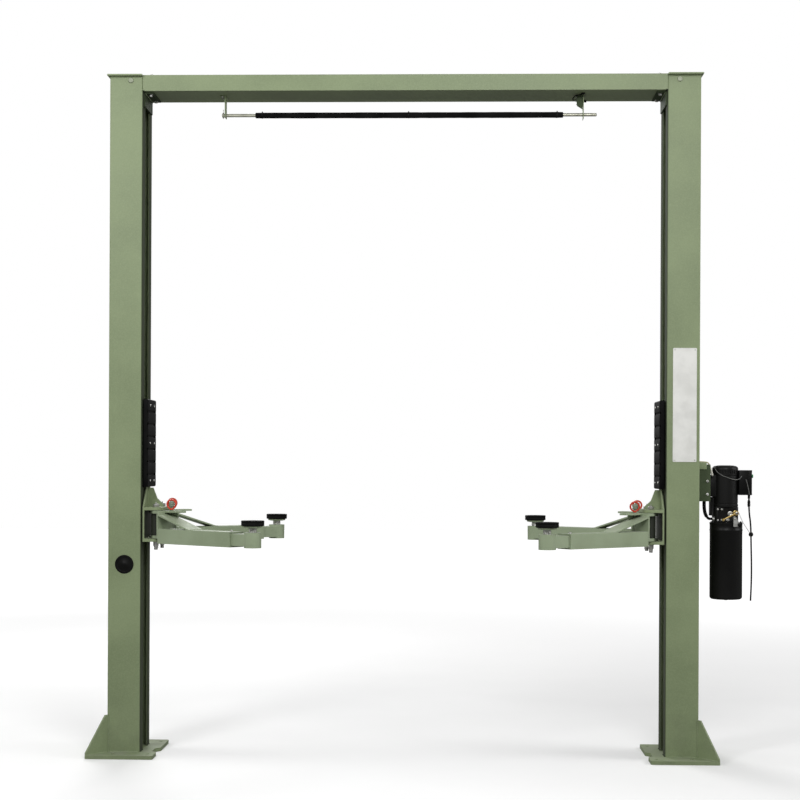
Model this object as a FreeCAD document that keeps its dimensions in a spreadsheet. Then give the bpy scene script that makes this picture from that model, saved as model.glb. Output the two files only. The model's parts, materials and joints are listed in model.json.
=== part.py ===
# Two-post clear-floor vehicle lift with an overhead beam.
# X runs across the lift, Y runs along the vehicle, Z is up, and the floor is at Z = 0.
# The origin is on the floor, at the centre of the anchor bolts. All sizes are in millimetres.
import FreeCAD, Part

import math
import os
import re

import Sketcher

doc = FreeCAD.newDocument("vehicle_lift")
sheet = doc.addObject("Spreadsheet::Sheet", "sizes")

# Driving sizes
sizes = {
    # columns
    "clear_width": 2850,
    "column_width": 180,
    "column_depth": 280,
    "column_sheet": 5,
    "column_bend": 9,
    "column_top": 3703,
    "lip_width": 80,
    "access_hole_radius": 47,
    "access_hole_height": 1043,
    "plug_rim": 4,
    "plug_rim_thickness": 3,
    # base plates
    "plate_thickness": 20,
    "plate_inner_margin": 89,
    "plate_outer_margin": 98,
    "plate_end_margin": 120,
    "plate_corner": 12,
    "notch_centre": 70,
    "notch_mouth": 150,
    "notch_floor": 90,
    "notch_depth": 27,
    "anchor_hole_radius": 10,
    "anchor_edge": 60,
    "anchor_inner_edge": 35,
    "anchor_spacing": 189,
    "gusset_height": 201,
    "gusset_thickness": 10,
    "gusset_flat": 20,
    "gusset_toe": 12,
    "gusset_gap": 0.2,
    # head of the lift
    "cap_thickness": 8,
    "cap_outer_overhang": 10,
    "cap_end_overhang": 28,
    "beam_height": 87,
    "beam_sheet": 5,
    "beam_lip": 40,
    "joint_inboard": 57,
    "joint_outboard": 46,
    "joint_length": 200,
    "joint_thickness": 8,
    "seat_length": 55,
    "seat_drop": 78,
    "seat_width": 220,
    "seat_thickness": 8,
    "head_bolt_radius": 12,
    "head_bolt_inset": 64,
    "head_bolt_drop": 22,
    "head_bolt_head_radius": 15,
    "head_bolt_head_height": 9,
    "head_nut_radius": 18,
    "head_nut_height": 16,
    # hydraulic cylinders
    "rod_radius": 25,
    "rod_length": 1810,
    "rod_inset": 90,
    "foot_radius": 42,
    "foot_height": 24,
    "piston_radius": 31,
    "piston_height": 60,
    "barrel_radius": 38,
    "barrel_bore": 31.5,
    "barrel_bottom": 1110,
    "barrel_length": 1820,
    "barrel_cap": 20,
    # carriages
    "carriage_bottom": 1166,
    "yoke_height": 188,
    "carriage_height": 774,
    "carriage_wall": 10,
    "carriage_gap": 8,
    "carriage_side_gap": 13,
    "carriage_end_plate": 12,
    "neck_gap": 10,
    "lip_gap": 6,
    "web_thickness": 12,
    "backing_thickness": 8,
    "flange_thickness": 16,
    "pin_offset": 75,
    "pin_spread": 190,
    "flange_radius": 45,
    "rib_thickness": 12,
    "rib_height": 106,
    "rib_reach": 80,
    "rib_waist": 46,
    "rib_head": 24,
    "rib_toe": 14,
    "guard_width": 230,
    "guard_thickness": 20,
    "guard_bottom": 1465,
    "guard_height": 482,
    "guard_ribs": 7,
    "guard_groove": 12,
    "guard_groove_depth": 8,
    "guard_wrap": 5,
    "block_height": 100,
    "block_width": 120,
    "block_clearance": 0.5,
    "block_end": 20,
    # arm pins
    "pin_radius": 16,
    "pin_clearance": 0.3,
    "pin_head_radius": 18,
    "pin_head_height": 18,
    "pin_stud_radius": 10,
    "pin_stud_length": 45,
    "pin_nut_radius": 15,
    "pin_nut_height": 24,
    # arms
    "arm_angle": 39,
    "arm_width": 100,
    "arm_wall": 8,
    "arm_tube_height": 80,
    "arm_tube_drop": 8,
    "arm_length": 640,
    "ear_gap": 2,
    "ear_radius": 38,
    "ear_thickness": 16,
    "hub_radius": 26,
    "head_plate_reach": 62,
    "head_plate_thickness": 8,
    "stay_drop": 18,
    "stay_thickness": 9,
    "stay_reach": 330,
    "lock_plate_length": 119,
    "lock_plate_width": 50,
    "lock_plate_thickness": 10,
    "lock_web": 8,
    "lock_reach": 100,
    "lock_offset": 24,
    "rear_lock_reach": 82,
    "rear_lock_offset": 32,
    "lock_radius": 8,
    "lock_clearance": 0.3,
    "lock_rise": 50,
    "lock_tail": 6,
    "ring_radius": 24,
    "ring_wire": 5,
    "ring_sink": 6,
    # arm extensions and pads
    "slide_clearance": 0.5,
    "extension_wall": 6,
    "extension_start": 180,
    "pad_gap": 120,
    "boss_radius": 45,
    "screw_radius": 22,
    "screw_clearance": 0.3,
    "screw_length": 92,
    "screw_bottom": 12,
    "cup_radius": 50,
    "cup_thickness": 10,
    "pad_radius": 60,
    "pad_thickness": 28,
    # limit bar under the beam
    "bar_radius": 9,
    "bar_drop": 105,
    "bar_left": 1007,
    "bar_right": 1051,
    "sleeve_radius": 16.5,
    "sleeve_left": 824,
    "sleeve_right": 871,
    "hanger_left": 992,
    "hanger_right": 978,
    "hanger_thickness": 4,
    "hanger_width": 60,
    "hanger_left_tail": 14,
    "hanger_right_tail": 24,
    "hanger_foot": 30,
    "bar_hole_gap": 0.5,
    "bar_rise": 34,
    "switch_length": 34,
    "switch_width": 40,
    "switch_height": 52,
    "plunger_radius": 8,
    "plunger_length": 16,
    "collar_radius": 14,
    "collar_length": 8,
    "collar_pin_radius": 2,
    "collar_pin_length": 36,
    # power unit
    "unit_inset": 160,
    "bracket_half_width": 90,
    "bracket_sheet": 6,
    "bracket_depth": 66,
    "bracket_rise": 31,
    "bracket_height": 200,
    "motor_radius": 70,
    "motor_bottom": 1370,
    "motor_height": 227,
    "motor_round": 14,
    "foot_width": 80,
    "foot_tall": 120,
    "foot_rise": 24,
    "box_length": 68,
    "box_depth": 92,
    "box_height": 136,
    "box_rise": 65,
    "box_round": 5,
    "button_radius": 10,
    "button_length": 14,
    "button_height": 103,
    "valve_width": 128,
    "valve_depth": 112,
    "valve_height": 85,
    "fitting_radius": 15,
    "fitting_length": 12,
    "fitting_shift": 18,
    "fitting_drop": 36,
    "tank_radius": 88,
    "tank_height": 421,
    "tank_shift": 6,
    "tank_round": 14,
    "tank_rim": 1,
    "tank_rim_height": 10,
    # release lever and its valve
    "lever_shift": 46,
    "lever_rise": 53,
    "lever_boss_radius": 11,
    "lever_gap": 5,
    "lever_stud_radius": 5,
    "lever_clearance": 0.3,
    "lever_length": 84,
    "lever_bar": 12,
    "lever_sheet": 5,
    "lever_angle": 26,
    "knob_radius": 9,
    "knob_length": 22,
    "side_plate_left": 30,
    "side_plate_right": 71,
    "side_plate_thickness": 4,
    "side_plate_drop": 21,
    "side_plate_height": 56,
    "side_plate_neck": 10,
    "side_plate_gap": 3,
    "spacer_radius": 8,
    "spacer_shift": 38,
    "spacer_drop": 62,
    # hose and hanging cable
    "hose_radius": 7,
    "hose_fitting_radius": 10,
    "hose_fitting_length": 12,
    "hose_rise": 20,
    "hose_climb": 145,
    "hose_side": 40,
    "hose_bow": 47,
    "cable_radius": 4.5,
    "cable_shift": 60,
    "gland_radius": 7,
    "gland_length": 18,
    "bulge_radius": 8,
    "bulge_length": 38,
    "bulge_drop": 27,
    "ball_radius": 13,
    "ball_drop": 216,
}
for row, (alias, value) in enumerate(sizes.items(), start=1):
    sheet.set("A%d" % row, alias)
    sheet.set("B%d" % row, str(value))
    sheet.setAlias("B%d" % row, alias)
doc.recompute()

sides = {"left": -1, "right": 1}
ends = {"front": -1, "rear": 1}
nodes = []


def sized(text):
    """Point each size named in an expression at its cell."""
    return re.sub(r"[A-Za-z_]+", lambda word: "sizes." + word.group() if word.group() in sizes else word.group(), text)


def size(alias):
    return float(sheet.get(alias))


def bind(item, **expressions):
    for name, text in expressions.items():
        item.setExpression(name, sized(text))


def place(item, x="0", y="0", z="0"):
    item.setExpression("Placement.Base.x", sized(x))
    item.setExpression("Placement.Base.y", sized(y))
    item.setExpression("Placement.Base.z", sized(z))
    return item


def turn(item, axis, angle):
    item.Placement = FreeCAD.Placement(FreeCAD.Vector(), FreeCAD.Rotation(FreeCAD.Vector(*axis), 1))
    item.setExpression("Placement.Rotation.Angle", sized(angle))
    return item


def box(x, y, z, length, width, height):
    item = doc.addObject("Part::Box", "block")
    bind(item, Length=length, Width=width, Height=height)
    return place(item, x, y, z)


def slab(side, near, far, y_low, y_high, z_low, z_high):
    """A block that runs from near to far, measured outward from the middle of the lift."""
    start = "(%s)" % near if side > 0 else "-(%s)" % far
    return box(start, y_low, z_low, "(%s) - (%s)" % (far, near), "(%s) - (%s)" % (y_high, y_low),
               "(%s) - (%s)" % (z_high, z_low))


def round_bar(x, y, z, radius, length, axis="z"):
    item = doc.addObject("Part::Cylinder", "round_bar")
    bind(item, Radius=radius, Height=length)
    if axis == "x":
        turn(item, (0, 1, 0), "90 deg")
    if axis == "y":
        turn(item, (1, 0, 0), "-90 deg")
    return place(item, x, y, z)


def fuse(*items):
    item = doc.addObject("Part::MultiFuse", "joined")
    item.Shapes = list(items)
    return item


def cut(base, *tools):
    item = doc.addObject("Part::Cut", "opened")
    item.Base = base
    item.Tool = fuse(*tools) if len(tools) > 1 else tools[0]
    return item


def node(item, name):
    item.Label = name
    nodes.append(item)
    return item


def origin_plane(body, role):
    return [plane for plane in body.Origin.OriginFeatures if plane.Role == role][0]


def prism(plane, corners, length, symmetric=False):
    """A body padded from a closed outline whose corners are tied to the sheet."""
    body = doc.addObject("PartDesign::Body", "prism")
    sketch = body.newObject("Sketcher::SketchObject", "outline")
    sketch.AttachmentSupport = [(origin_plane(body, plane), "")]
    sketch.MapMode = "FlatFace"
    bind_outline(sketch, corners)
    pad = body.newObject("PartDesign::Pad", "pad")
    pad.Profile = sketch
    pad.Midplane = symmetric
    bind(pad, Length=length)
    body.Tip = pad
    return body


def bind_outline(sketch, corners):
    spread = 100.0
    count = len(corners)
    guess = [FreeCAD.Vector(spread * math.cos(2 * math.pi * k / count),
                            spread * math.sin(2 * math.pi * k / count), 0) for k in range(count)]
    for k in range(count):
        sketch.addGeometry(Part.LineSegment(guess[k], guess[(k + 1) % count]), False)
    for k in range(count):
        sketch.addConstraint(Sketcher.Constraint("Coincident", k, 2, (k + 1) % count, 1))
    for k, (across, up) in enumerate(corners):
        for kind, value, text in (("DistanceX", guess[k].x, across), ("DistanceY", guess[k].y, up)):
            index = sketch.addConstraint(Sketcher.Constraint(kind, -1, 1, k, 1, value))
            sketch.setExpression("Constraints[%d]" % index, sized(text))


def round_edges(body, radius, chosen):
    """Round the edges of a body that the test accepts."""
    doc.recompute()
    base = body.Tip
    names = ["Edge%d" % (k + 1) for k, edge in enumerate(base.Shape.Edges) if chosen(edge)]
    rounding = body.newObject("PartDesign::Fillet", "rounding")
    rounding.Base = (base, names)
    bind(rounding, Radius=radius)
    body.Tip = rounding
    return body


def upright(edge):
    low, high = edge.Vertexes[0].Point, edge.Vertexes[-1].Point
    return abs(low.x - high.x) < 1e-6 and abs(low.y - high.y) < 1e-6


# Faces and lines that several pieces share
inner_face = "clear_width / 2"
outer_face = "(clear_width / 2 + column_width)"
half_depth = "column_depth / 2"
frame_top = "(column_top + cap_thickness)"
beam_bottom = "(column_top + cap_thickness - beam_height)"
rod_line = "(clear_width / 2 + rod_inset)"
pin_line = "(clear_width / 2 - pin_offset)"
web_back = "(clear_width / 2 - lip_gap)"
web_face = "(clear_width / 2 - lip_gap - web_thickness)"
backing_face = "(clear_width / 2 - lip_gap - backing_thickness)"
yoke_top = "(carriage_bottom + yoke_height)"
carriage_top = "(carriage_bottom + carriage_height)"
guard_top = "(guard_bottom + guard_height)"
head_bottom = "(carriage_bottom + flange_thickness + ear_gap)"
head_top = "(carriage_bottom + yoke_height - flange_thickness - ear_gap)"
tube_bottom = "(carriage_bottom - arm_tube_drop)"
tube_top = "(carriage_bottom - arm_tube_drop + arm_tube_height)"
bar_height = "(column_top + cap_thickness - beam_height - bar_drop)"
unit_line = "(clear_width / 2 + column_width + unit_inset)"
plate_inner = "(clear_width / 2 - plate_inner_margin)"
plate_outer = "(clear_width / 2 + column_width + plate_outer_margin)"
plate_end = "(column_depth / 2 + plate_end_margin)"
anchor_inner = "(clear_width / 2 - plate_inner_margin + anchor_inner_edge)"
anchor_outer = "(clear_width / 2 - plate_inner_margin + anchor_inner_edge + anchor_spacing)"
anchor_end = "(column_depth / 2 + plate_end_margin - anchor_edge)"
pad_line = "(arm_length + pad_gap)"
block_bottom = "(motor_bottom - valve_height)"
bracket_bottom = "(motor_bottom + bracket_rise)"
box_bottom = "(motor_bottom + box_rise)"
lever_height = "(motor_bottom - valve_height + lever_rise)"
hose_lower = "(motor_bottom - valve_height + hose_rise)"
hose_upper = "(motor_bottom - valve_height + hose_rise + hose_climb)"
side_plate_back = "(tank_radius + tank_rim + side_plate_gap)"
lever_back = "(tank_radius + tank_rim + side_plate_gap + side_plate_thickness + lever_gap)"


# Base plates: a notch in the inner edge and four anchor holes
def base_plate(side):
    inner = "%d * %s" % (side, plate_inner)
    outer = "%d * %s" % (side, plate_outer)
    floor = "%d * (%s + notch_depth)" % (side, plate_inner)
    corners = [(outer, "-" + plate_end), (inner, "-" + plate_end),
               (inner, "-notch_centre - notch_mouth / 2"), (floor, "-notch_centre - notch_floor / 2"),
               (floor, "-notch_centre + notch_floor / 2"), (inner, "-notch_centre + notch_mouth / 2"),
               (inner, plate_end), (outer, plate_end)]
    plate = prism("XY_Plane", corners, "plate_thickness")
    far = size("column_depth") / 2 + size("plate_end_margin")
    round_edges(plate, "plate_corner",
                lambda edge: upright(edge) and abs(abs(edge.Vertexes[0].Y) - far) < 1e-3)
    holes = []
    for across in (anchor_inner, anchor_outer):
        for end in ends.values():
            holes.append(round_bar("%d * %s" % (side, across), "%d * %s" % (end, anchor_end), "0",
                                   "anchor_hole_radius", "plate_thickness"))
    return cut(plate, *holes)


# Corner gussets: triangles that run from each outer corner of a column to the corner of its plate
def corner_gusset(side, end):
    line = "sqrt(plate_outer_margin ^ 2 + plate_end_margin ^ 2)"
    run = "(%s + column_bend)" % line
    corners = [("0", "0"), (run + " - gusset_toe", "0"), (run + " - gusset_toe", "gusset_toe"),
               ("gusset_flat", "gusset_height"), ("0", "gusset_height")]
    gusset = prism("XZ_Plane", corners, "gusset_thickness", symmetric=True)
    slope = "atan(plate_end_margin / plate_outer_margin)"
    heading = {(1, 1): slope, (1, -1): "-" + slope, (-1, 1): "180 deg - " + slope, (-1, -1): "180 deg + " + slope}
    turn(gusset, (0, 0, 1), heading[(side, end)])
    start = "(column_bend + gusset_gap)"
    return place(gusset, "%d * (%s - column_bend + %s * plate_outer_margin / %s)" % (side, outer_face, start, line),
                 "%d * (%s - column_bend + %s * plate_end_margin / %s)" % (end, half_depth, start, line),
                 "plate_thickness")


for word, side in sides.items():
    node(base_plate(side), word + "_base_plate")
node(fuse(*[corner_gusset(side, end) for side in sides.values() for end in ends.values()]), "base_gussets")


# Columns: folded channels whose lips leave a slot that faces the vehicle
def column(side):
    inner = "%d * %s" % (side, inner_face)
    outer = "%d * %s" % (side, outer_face)
    inside_near = "%d * (%s + column_sheet)" % (side, inner_face)
    inside_far = "%d * (%s - column_sheet)" % (side, outer_face)
    wall = "(column_depth / 2 - column_sheet)"
    lip = "(column_depth / 2 - lip_width)"
    half = [(inner, lip), (inner, half_depth), (outer, half_depth)]
    inside = [(inside_far, wall), (inside_near, wall), (inside_near, lip)]
    below = [(across, "-" + along) for across, along in half]
    inside_below = [(across, "-" + along) for across, along in inside]
    corners = half + list(reversed(below)) + list(reversed(inside_below)) + inside
    post = prism("XY_Plane", corners, "column_top - plate_thickness")
    far = size("column_depth") / 2
    round_edges(post, "column_bend", lambda edge: upright(edge) and abs(abs(edge.Vertexes[0].Y) - far) < 1e-3)
    place(post, "0", "0", "plate_thickness")
    tools = [round_bar("%d * (%s + head_bolt_inset)" % (side, inner_face), "-column_depth",
                       "column_top - head_bolt_drop", "head_bolt_radius", "2 * column_depth", "y")]
    if side < 0:
        tools.append(round_bar("-%s - column_width / 2" % inner_face, "-column_depth", "access_hole_height",
                               "access_hole_radius", "column_depth", "y"))
    return cut(post, *tools)


for word, side in sides.items():
    node(column(side), word + "_column")


# Round plug that closes the access hole of the left column
def access_plug():
    middle = "-%s - column_width / 2" % inner_face
    front = "-%s" % half_depth
    body = round_bar(middle, front, "access_hole_height", "access_hole_radius", "column_sheet", "y")
    rim = round_bar(middle, front + " - plug_rim_thickness", "access_hole_height",
                    "access_hole_radius + plug_rim", "plug_rim_thickness", "y")
    return fuse(body, rim)


node(access_plug(), "access_plug")


# Cap plates on the columns, the beam between them and the plates that join them
def column_cap(side):
    reach = "(%s + cap_end_overhang)" % half_depth
    return slab(side, inner_face, outer_face + " + cap_outer_overhang", "-" + reach, reach, "column_top", frame_top)


def overhead_beam():
    rim = "(%s - beam_sheet)" % half_depth
    lip = "(%s - beam_lip)" % half_depth
    top = "beam_height"
    under_lip = "(beam_height - beam_sheet)"
    half = [(half_depth, "0"), (half_depth, top), (lip, top), (lip, under_lip), (rim, under_lip), (rim, "beam_sheet")]
    corners = half + [("-" + across, up) for across, up in reversed(half)]
    beam = prism("YZ_Plane", corners, "clear_width", symmetric=True)
    return place(beam, "0", "0", beam_bottom)


def joint_plate(side):
    return slab(side, inner_face + " - joint_inboard", inner_face + " + joint_outboard", "-joint_length / 2",
                "joint_length / 2", frame_top, frame_top + " + joint_thickness")


def beam_seat(side):
    half = "seat_width / 2"
    shelf = slab(side, inner_face + " - seat_length", inner_face, "-" + half, half,
                 beam_bottom + " - seat_thickness", beam_bottom)
    back = slab(side, inner_face + " - seat_thickness", inner_face, "-" + half, half,
                beam_bottom + " - seat_drop", beam_bottom)
    return fuse(shelf, back)


def head_bolt(side):
    across = "%d * (%s + head_bolt_inset)" % (side, inner_face)
    height = "column_top - head_bolt_drop"
    front = "-" + half_depth
    shank = round_bar(across, front, height, "head_bolt_radius", "column_depth", "y")
    ball = doc.addObject("Part::Sphere", "dome")
    bind(ball, Radius="head_bolt_head_radius")
    place(ball, across, front, height)
    half_space = box(across + " - head_bolt_head_radius", front + " - head_bolt_head_height",
                     height + " - head_bolt_head_radius", "2 * head_bolt_head_radius", "head_bolt_head_height",
                     "2 * head_bolt_head_radius")
    dome = doc.addObject("Part::Common", "domed_head")
    dome.Base = ball
    dome.Tool = half_space
    nut = hexagon(across, half_depth, height, "head_nut_radius", "head_nut_height", "y")
    return fuse(shank, dome, nut)


def hexagon(x, y, z, radius, length, axis="z"):
    item = doc.addObject("Part::Prism", "hexagon")
    item.Polygon = 6
    bind(item, Circumradius=radius, Height=length)
    if axis == "y":
        turn(item, (1, 0, 0), "-90 deg")
    return place(item, x, y, z)


node(fuse(*[column_cap(side) for side in sides.values()]), "column_caps")
node(overhead_beam(), "overhead_beam")
node(fuse(*[joint_plate(side) for side in sides.values()]), "beam_joint_plates")
node(fuse(*[beam_seat(side) for side in sides.values()]), "beam_seats")
node(fuse(*[head_bolt(side) for side in sides.values()]), "head_bolts")


# Hydraulic cylinders: the rod stands on the base plate and the barrel rises with the carriage
def cylinder_rod(side):
    across = "%d * %s" % (side, rod_line)
    foot = round_bar(across, "0", "plate_thickness", "foot_radius", "foot_height")
    rod = round_bar(across, "0", "plate_thickness", "rod_radius", "rod_length")
    piston = round_bar(across, "0", "plate_thickness + rod_length - piston_height", "piston_radius", "piston_height")
    return fuse(foot, rod, piston)


def cylinder_barrel(side):
    across = "%d * %s" % (side, rod_line)
    barrel = round_bar(across, "0", "barrel_bottom", "barrel_radius", "barrel_length")
    bore = round_bar(across, "0", "barrel_bottom", "barrel_bore", "barrel_length - barrel_cap")
    return cut(barrel, bore)


node(fuse(*[cylinder_rod(side) for side in sides.values()]), "cylinder_rods")


# Carriages: a box that slides in the column, carrying the yoke for the arms and the guard's backing
def yoke_flange(side, z_low, z_high):
    half = "pin_spread / 2"
    shapes = [slab(side, pin_line, web_back, "-%s - flange_radius" % half, "%s + flange_radius" % half, z_low, z_high),
              slab(side, pin_line + " - flange_radius", pin_line, "-" + half, half, z_low, z_high)]
    for end in ends.values():
        shapes.append(round_bar("%d * %s" % (side, pin_line), "%d * %s" % (end, half), z_low, "flange_radius",
                                "(%s) - (%s)" % (z_high, z_low)))
    return fuse(*shapes)


def yoke_rib(side):
    foot = "%d * (%s - rib_reach)" % (side, web_face)
    waist = "%d * (%s - rib_waist)" % (side, web_face)
    head = "%d * (%s - rib_head)" % (side, web_face)
    corners = [("%d * %s" % (side, web_back), "0"), (foot, "0"), (foot, "rib_toe"), (waist, "rib_height * 0.45"),
               (head, "rib_height"), ("%d * %s" % (side, web_back), "rib_height")]
    rib = prism("XZ_Plane", corners, "rib_thickness", symmetric=True)
    return place(rib, "0", "0", yoke_top)


def yoke_shoulder(side):
    half = "(pin_spread / 2 + flange_radius)"
    neck = "(column_depth / 2 - lip_width - neck_gap)"
    corners = [("-" + half, "0"), (half, "0"), (neck, "rib_height"), ("-" + neck, "rib_height")]
    shoulder = prism("YZ_Plane", corners, "backing_thickness")
    start = backing_face if side > 0 else "-" + web_back
    return place(shoulder, start, "0", yoke_top)


def carriage(side):
    half = "(column_depth / 2 - column_sheet - carriage_side_gap)"
    near = "(%s + column_sheet + carriage_gap)" % inner_face
    far = "(%s - column_sheet - carriage_side_gap)" % outer_face
    neck = "(column_depth / 2 - lip_width - neck_gap)"
    yoke_half = "(pin_spread / 2 + flange_radius)"
    tube = slab(side, near, far, "-" + half, half, "carriage_bottom", carriage_top)
    hollow = slab(side, near + " + carriage_wall", far + " - carriage_wall", "-%s + carriage_wall" % half,
                  half + " - carriage_wall", "carriage_bottom + carriage_end_plate",
                  carriage_top + " - carriage_end_plate")
    shell = cut(tube, hollow)
    joined = fuse(shell,
                  slab(side, backing_face, near + " + carriage_wall / 2", "-" + neck, neck, "carriage_bottom", guard_top),
                  slab(side, web_face, web_back, "-" + yoke_half, yoke_half, "carriage_bottom", yoke_top),
                  slab(side, backing_face, web_back, "-guard_width / 2 + guard_wrap", "guard_width / 2 - guard_wrap",
                       "guard_bottom", guard_top),
                  yoke_flange(side, yoke_top + " - flange_thickness", yoke_top),
                  yoke_flange(side, "carriage_bottom", "carriage_bottom + flange_thickness"),
                  yoke_rib(side),
                  yoke_shoulder(side))
    holes = [round_bar("%d * %s" % (side, pin_line), "%d * pin_spread / 2" % end, "carriage_bottom", "pin_radius",
                       "yoke_height") for end in ends.values()]
    holes.append(round_bar("%d * %s" % (side, rod_line), "0", "carriage_bottom", "barrel_radius", "carriage_height"))
    return cut(joined, *holes)


def door_guard(side):
    half = "guard_width / 2"
    face = "(%s - guard_thickness)" % backing_face
    pad = slab(side, face, web_back, "-" + half, half, "guard_bottom", guard_top)
    backing = slab(side, backing_face, web_back, "-%s + guard_wrap" % half, half + " - guard_wrap", "guard_bottom",
                   guard_top)
    grooves = []
    for k in range(1, int(size("guard_ribs"))):
        middle = "guard_bottom + guard_height * %d / guard_ribs" % k
        grooves.append(slab(side, face, face + " + guard_groove_depth", "-" + half, half,
                            middle + " - guard_groove / 2", middle + " + guard_groove / 2"))
    return cut(pad, backing, *grooves)


def slide_blocks(side):
    inside = "(column_depth / 2 - column_sheet - carriage_side_gap)"
    wear = "(column_depth / 2 - column_sheet - block_clearance)"
    middle = "(clear_width / 2 + column_width / 2)"
    blocks = []
    for low in ("(carriage_bottom + block_end)", "(%s - block_end - block_height)" % carriage_top):
        for y_low, y_high in ((inside, wear), ("-" + wear, "-" + inside)):
            blocks.append(slab(side, middle + " - block_width / 2", middle + " + block_width / 2", y_low, y_high,
                               low, low + " + block_height"))
    return fuse(*blocks)


def arm_pins(side):
    pins = []
    for end in ends.values():
        across = "%d * %s" % (side, pin_line)
        along = "%d * pin_spread / 2" % end
        pins.append(round_bar(across, along, "carriage_bottom", "pin_radius", "yoke_height"))
        pins.append(round_bar(across, along, yoke_top, "pin_head_radius", "pin_head_height"))
        pins.append(round_bar(across, along, "carriage_bottom - pin_stud_length", "pin_stud_radius",
                              "pin_stud_length"))
        pins.append(hexagon(across, along, "carriage_bottom - pin_nut_height", "pin_nut_radius", "pin_nut_height"))
    return fuse(*pins)


for word, side in sides.items():
    node(carriage(side), word + "_carriage")
    node(door_guard(side), word + "_door_guard")
    node(slide_blocks(side), word + "_slide_blocks")
    node(arm_pins(side), word + "_arm_pins")
    node(cylinder_barrel(side), word + "_cylinder_barrel")


# Swing arms: built along X from the pin, then turned and set on their pin
def set_on_pin(item, side, end):
    heading = {(-1, -1): "-arm_angle * 1 deg", (-1, 1): "arm_angle * 1 deg",
               (1, -1): "180 deg + arm_angle * 1 deg", (1, 1): "180 deg - arm_angle * 1 deg"}
    turn(item, (0, 0, 1), heading[(side, end)])
    return place(item, "%d * %s" % (side, pin_line), "%d * pin_spread / 2" % end)


def arm(inward, lock_reach, lock_offset):
    half = "arm_width / 2"
    tube_start = "(head_plate_reach + head_plate_thickness)"
    ears = []
    for low in (head_bottom, "(%s - ear_thickness)" % head_top):
        ears.append(round_bar("0", "0", low, "ear_radius", "ear_thickness"))
        ears.append(box("0", "-ear_radius", low, "head_plate_reach", "2 * ear_radius", "ear_thickness"))
    hub = round_bar("0", "0", head_bottom, "hub_radius", "%s - %s" % (head_top, head_bottom))
    head = box("head_plate_reach", "-" + half, head_bottom, "head_plate_thickness", "arm_width",
               "%s - %s" % (head_top, head_bottom))
    tube = box(tube_start, "-" + half, tube_bottom, "arm_length - " + tube_start, "arm_width", "arm_tube_height")
    bore = box(tube_start + " + arm_wall", "-%s + arm_wall" % half, tube_bottom + " + arm_wall",
               "arm_length", "arm_width - 2 * arm_wall", "arm_tube_height - 2 * arm_wall")
    stay_top = head_top + " - stay_drop"
    stay = prism("XZ_Plane", [(tube_start, stay_top), (tube_start, stay_top + " - stay_thickness"),
                              ("stay_reach - 3 * stay_thickness", tube_top), ("stay_reach", tube_top)],
                 "arm_width", symmetric=True)
    low_side = "0" if inward > 0 else "-lock_plate_width"
    lock_plate = box(tube_start, low_side, head_top + " - lock_plate_thickness", "lock_plate_length",
                     "lock_plate_width", "lock_plate_thickness")
    web_side = half + " - lock_web" if inward > 0 else "-" + half
    lock_web = box(tube_start, web_side, stay_top + " - 2 * lock_plate_thickness", "lock_plate_length / 2",
                   "lock_web", "stay_drop + 2 * lock_plate_thickness - lock_plate_thickness")
    lock_hole = round_bar(lock_reach, "%d * %s" % (inward, lock_offset), head_top + " - lock_plate_thickness",
                          "lock_radius + lock_clearance", "lock_plate_thickness")
    pin_hole = round_bar("0", "0", head_bottom, "pin_radius + pin_clearance", "%s - %s" % (head_top, head_bottom))
    solid = fuse(cut(tube, bore), *ears, hub, head, stay, lock_plate, lock_web)
    return cut(solid, lock_hole, pin_hole)


def arm_lock(inward, end, lock_reach, lock_offset):
    """A lift pin whose ring faces the front of the lift while its arm is at rest."""
    along = "%d * %s" % (inward, lock_offset)
    rod = round_bar(lock_reach, along, head_top + " - lock_plate_thickness - lock_tail", "lock_radius",
                    "lock_plate_thickness + lock_tail + lock_rise")
    ring = doc.addObject("Part::Torus", "ring")
    bind(ring, Radius1="ring_radius", Radius2="ring_wire")
    heading = math.radians(size("arm_angle")) * inward * end
    turn(ring, (math.cos(heading), -math.sin(heading), 0), "90 deg")
    place(ring, lock_reach, along, head_top + " + ring_sink + ring_wire + ring_radius + 2 * lock_clearance")
    return fuse(rod, ring)


def arm_extension():
    half = "(arm_width / 2 - arm_wall - slide_clearance)"
    low = "(%s + arm_wall + slide_clearance)" % tube_bottom
    tall = "(arm_tube_height - 2 * arm_wall - 2 * slide_clearance)"
    tube = box("extension_start", "-" + half, low, pad_line + " - extension_start", "2 * " + half, tall)
    bore = box("extension_start", "-%s + extension_wall" % half, low + " + extension_wall",
               pad_line + " - extension_start - boss_radius", "2 * (%s - extension_wall)" % half,
               tall + " - 2 * extension_wall")
    boss = round_bar(pad_line, "0", tube_bottom, "boss_radius", "arm_tube_height")
    screw_hole = round_bar(pad_line, "0", tube_bottom, "screw_radius + screw_clearance", "arm_tube_height")
    return cut(fuse(cut(tube, bore), boss), screw_hole)


def lift_pad():
    screw_top = "(%s + screw_bottom + screw_length)" % tube_bottom
    screw = round_bar(pad_line, "0", tube_bottom + " + screw_bottom", "screw_radius", "screw_length")
    cup = round_bar(pad_line, "0", screw_top, "cup_radius", "cup_thickness")
    pad = round_bar(pad_line, "0", screw_top + " + cup_thickness", "pad_radius", "pad_thickness")
    return fuse(screw, cup, pad)


for word, side in sides.items():
    for end_word, end in ends.items():
        name = word + "_" + end_word
        inward = -side
        lock_place = ("lock_reach", "lock_offset") if end < 0 else ("rear_lock_reach", "rear_lock_offset")
        node(set_on_pin(arm(inward, *lock_place), side, end), name + "_arm")
        node(set_on_pin(arm_lock(inward, end, *lock_place), side, end), name + "_arm_lock")
        node(set_on_pin(arm_extension(), side, end), name + "_arm_extension")
        node(set_on_pin(lift_pad(), side, end), name + "_pad")


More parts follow.
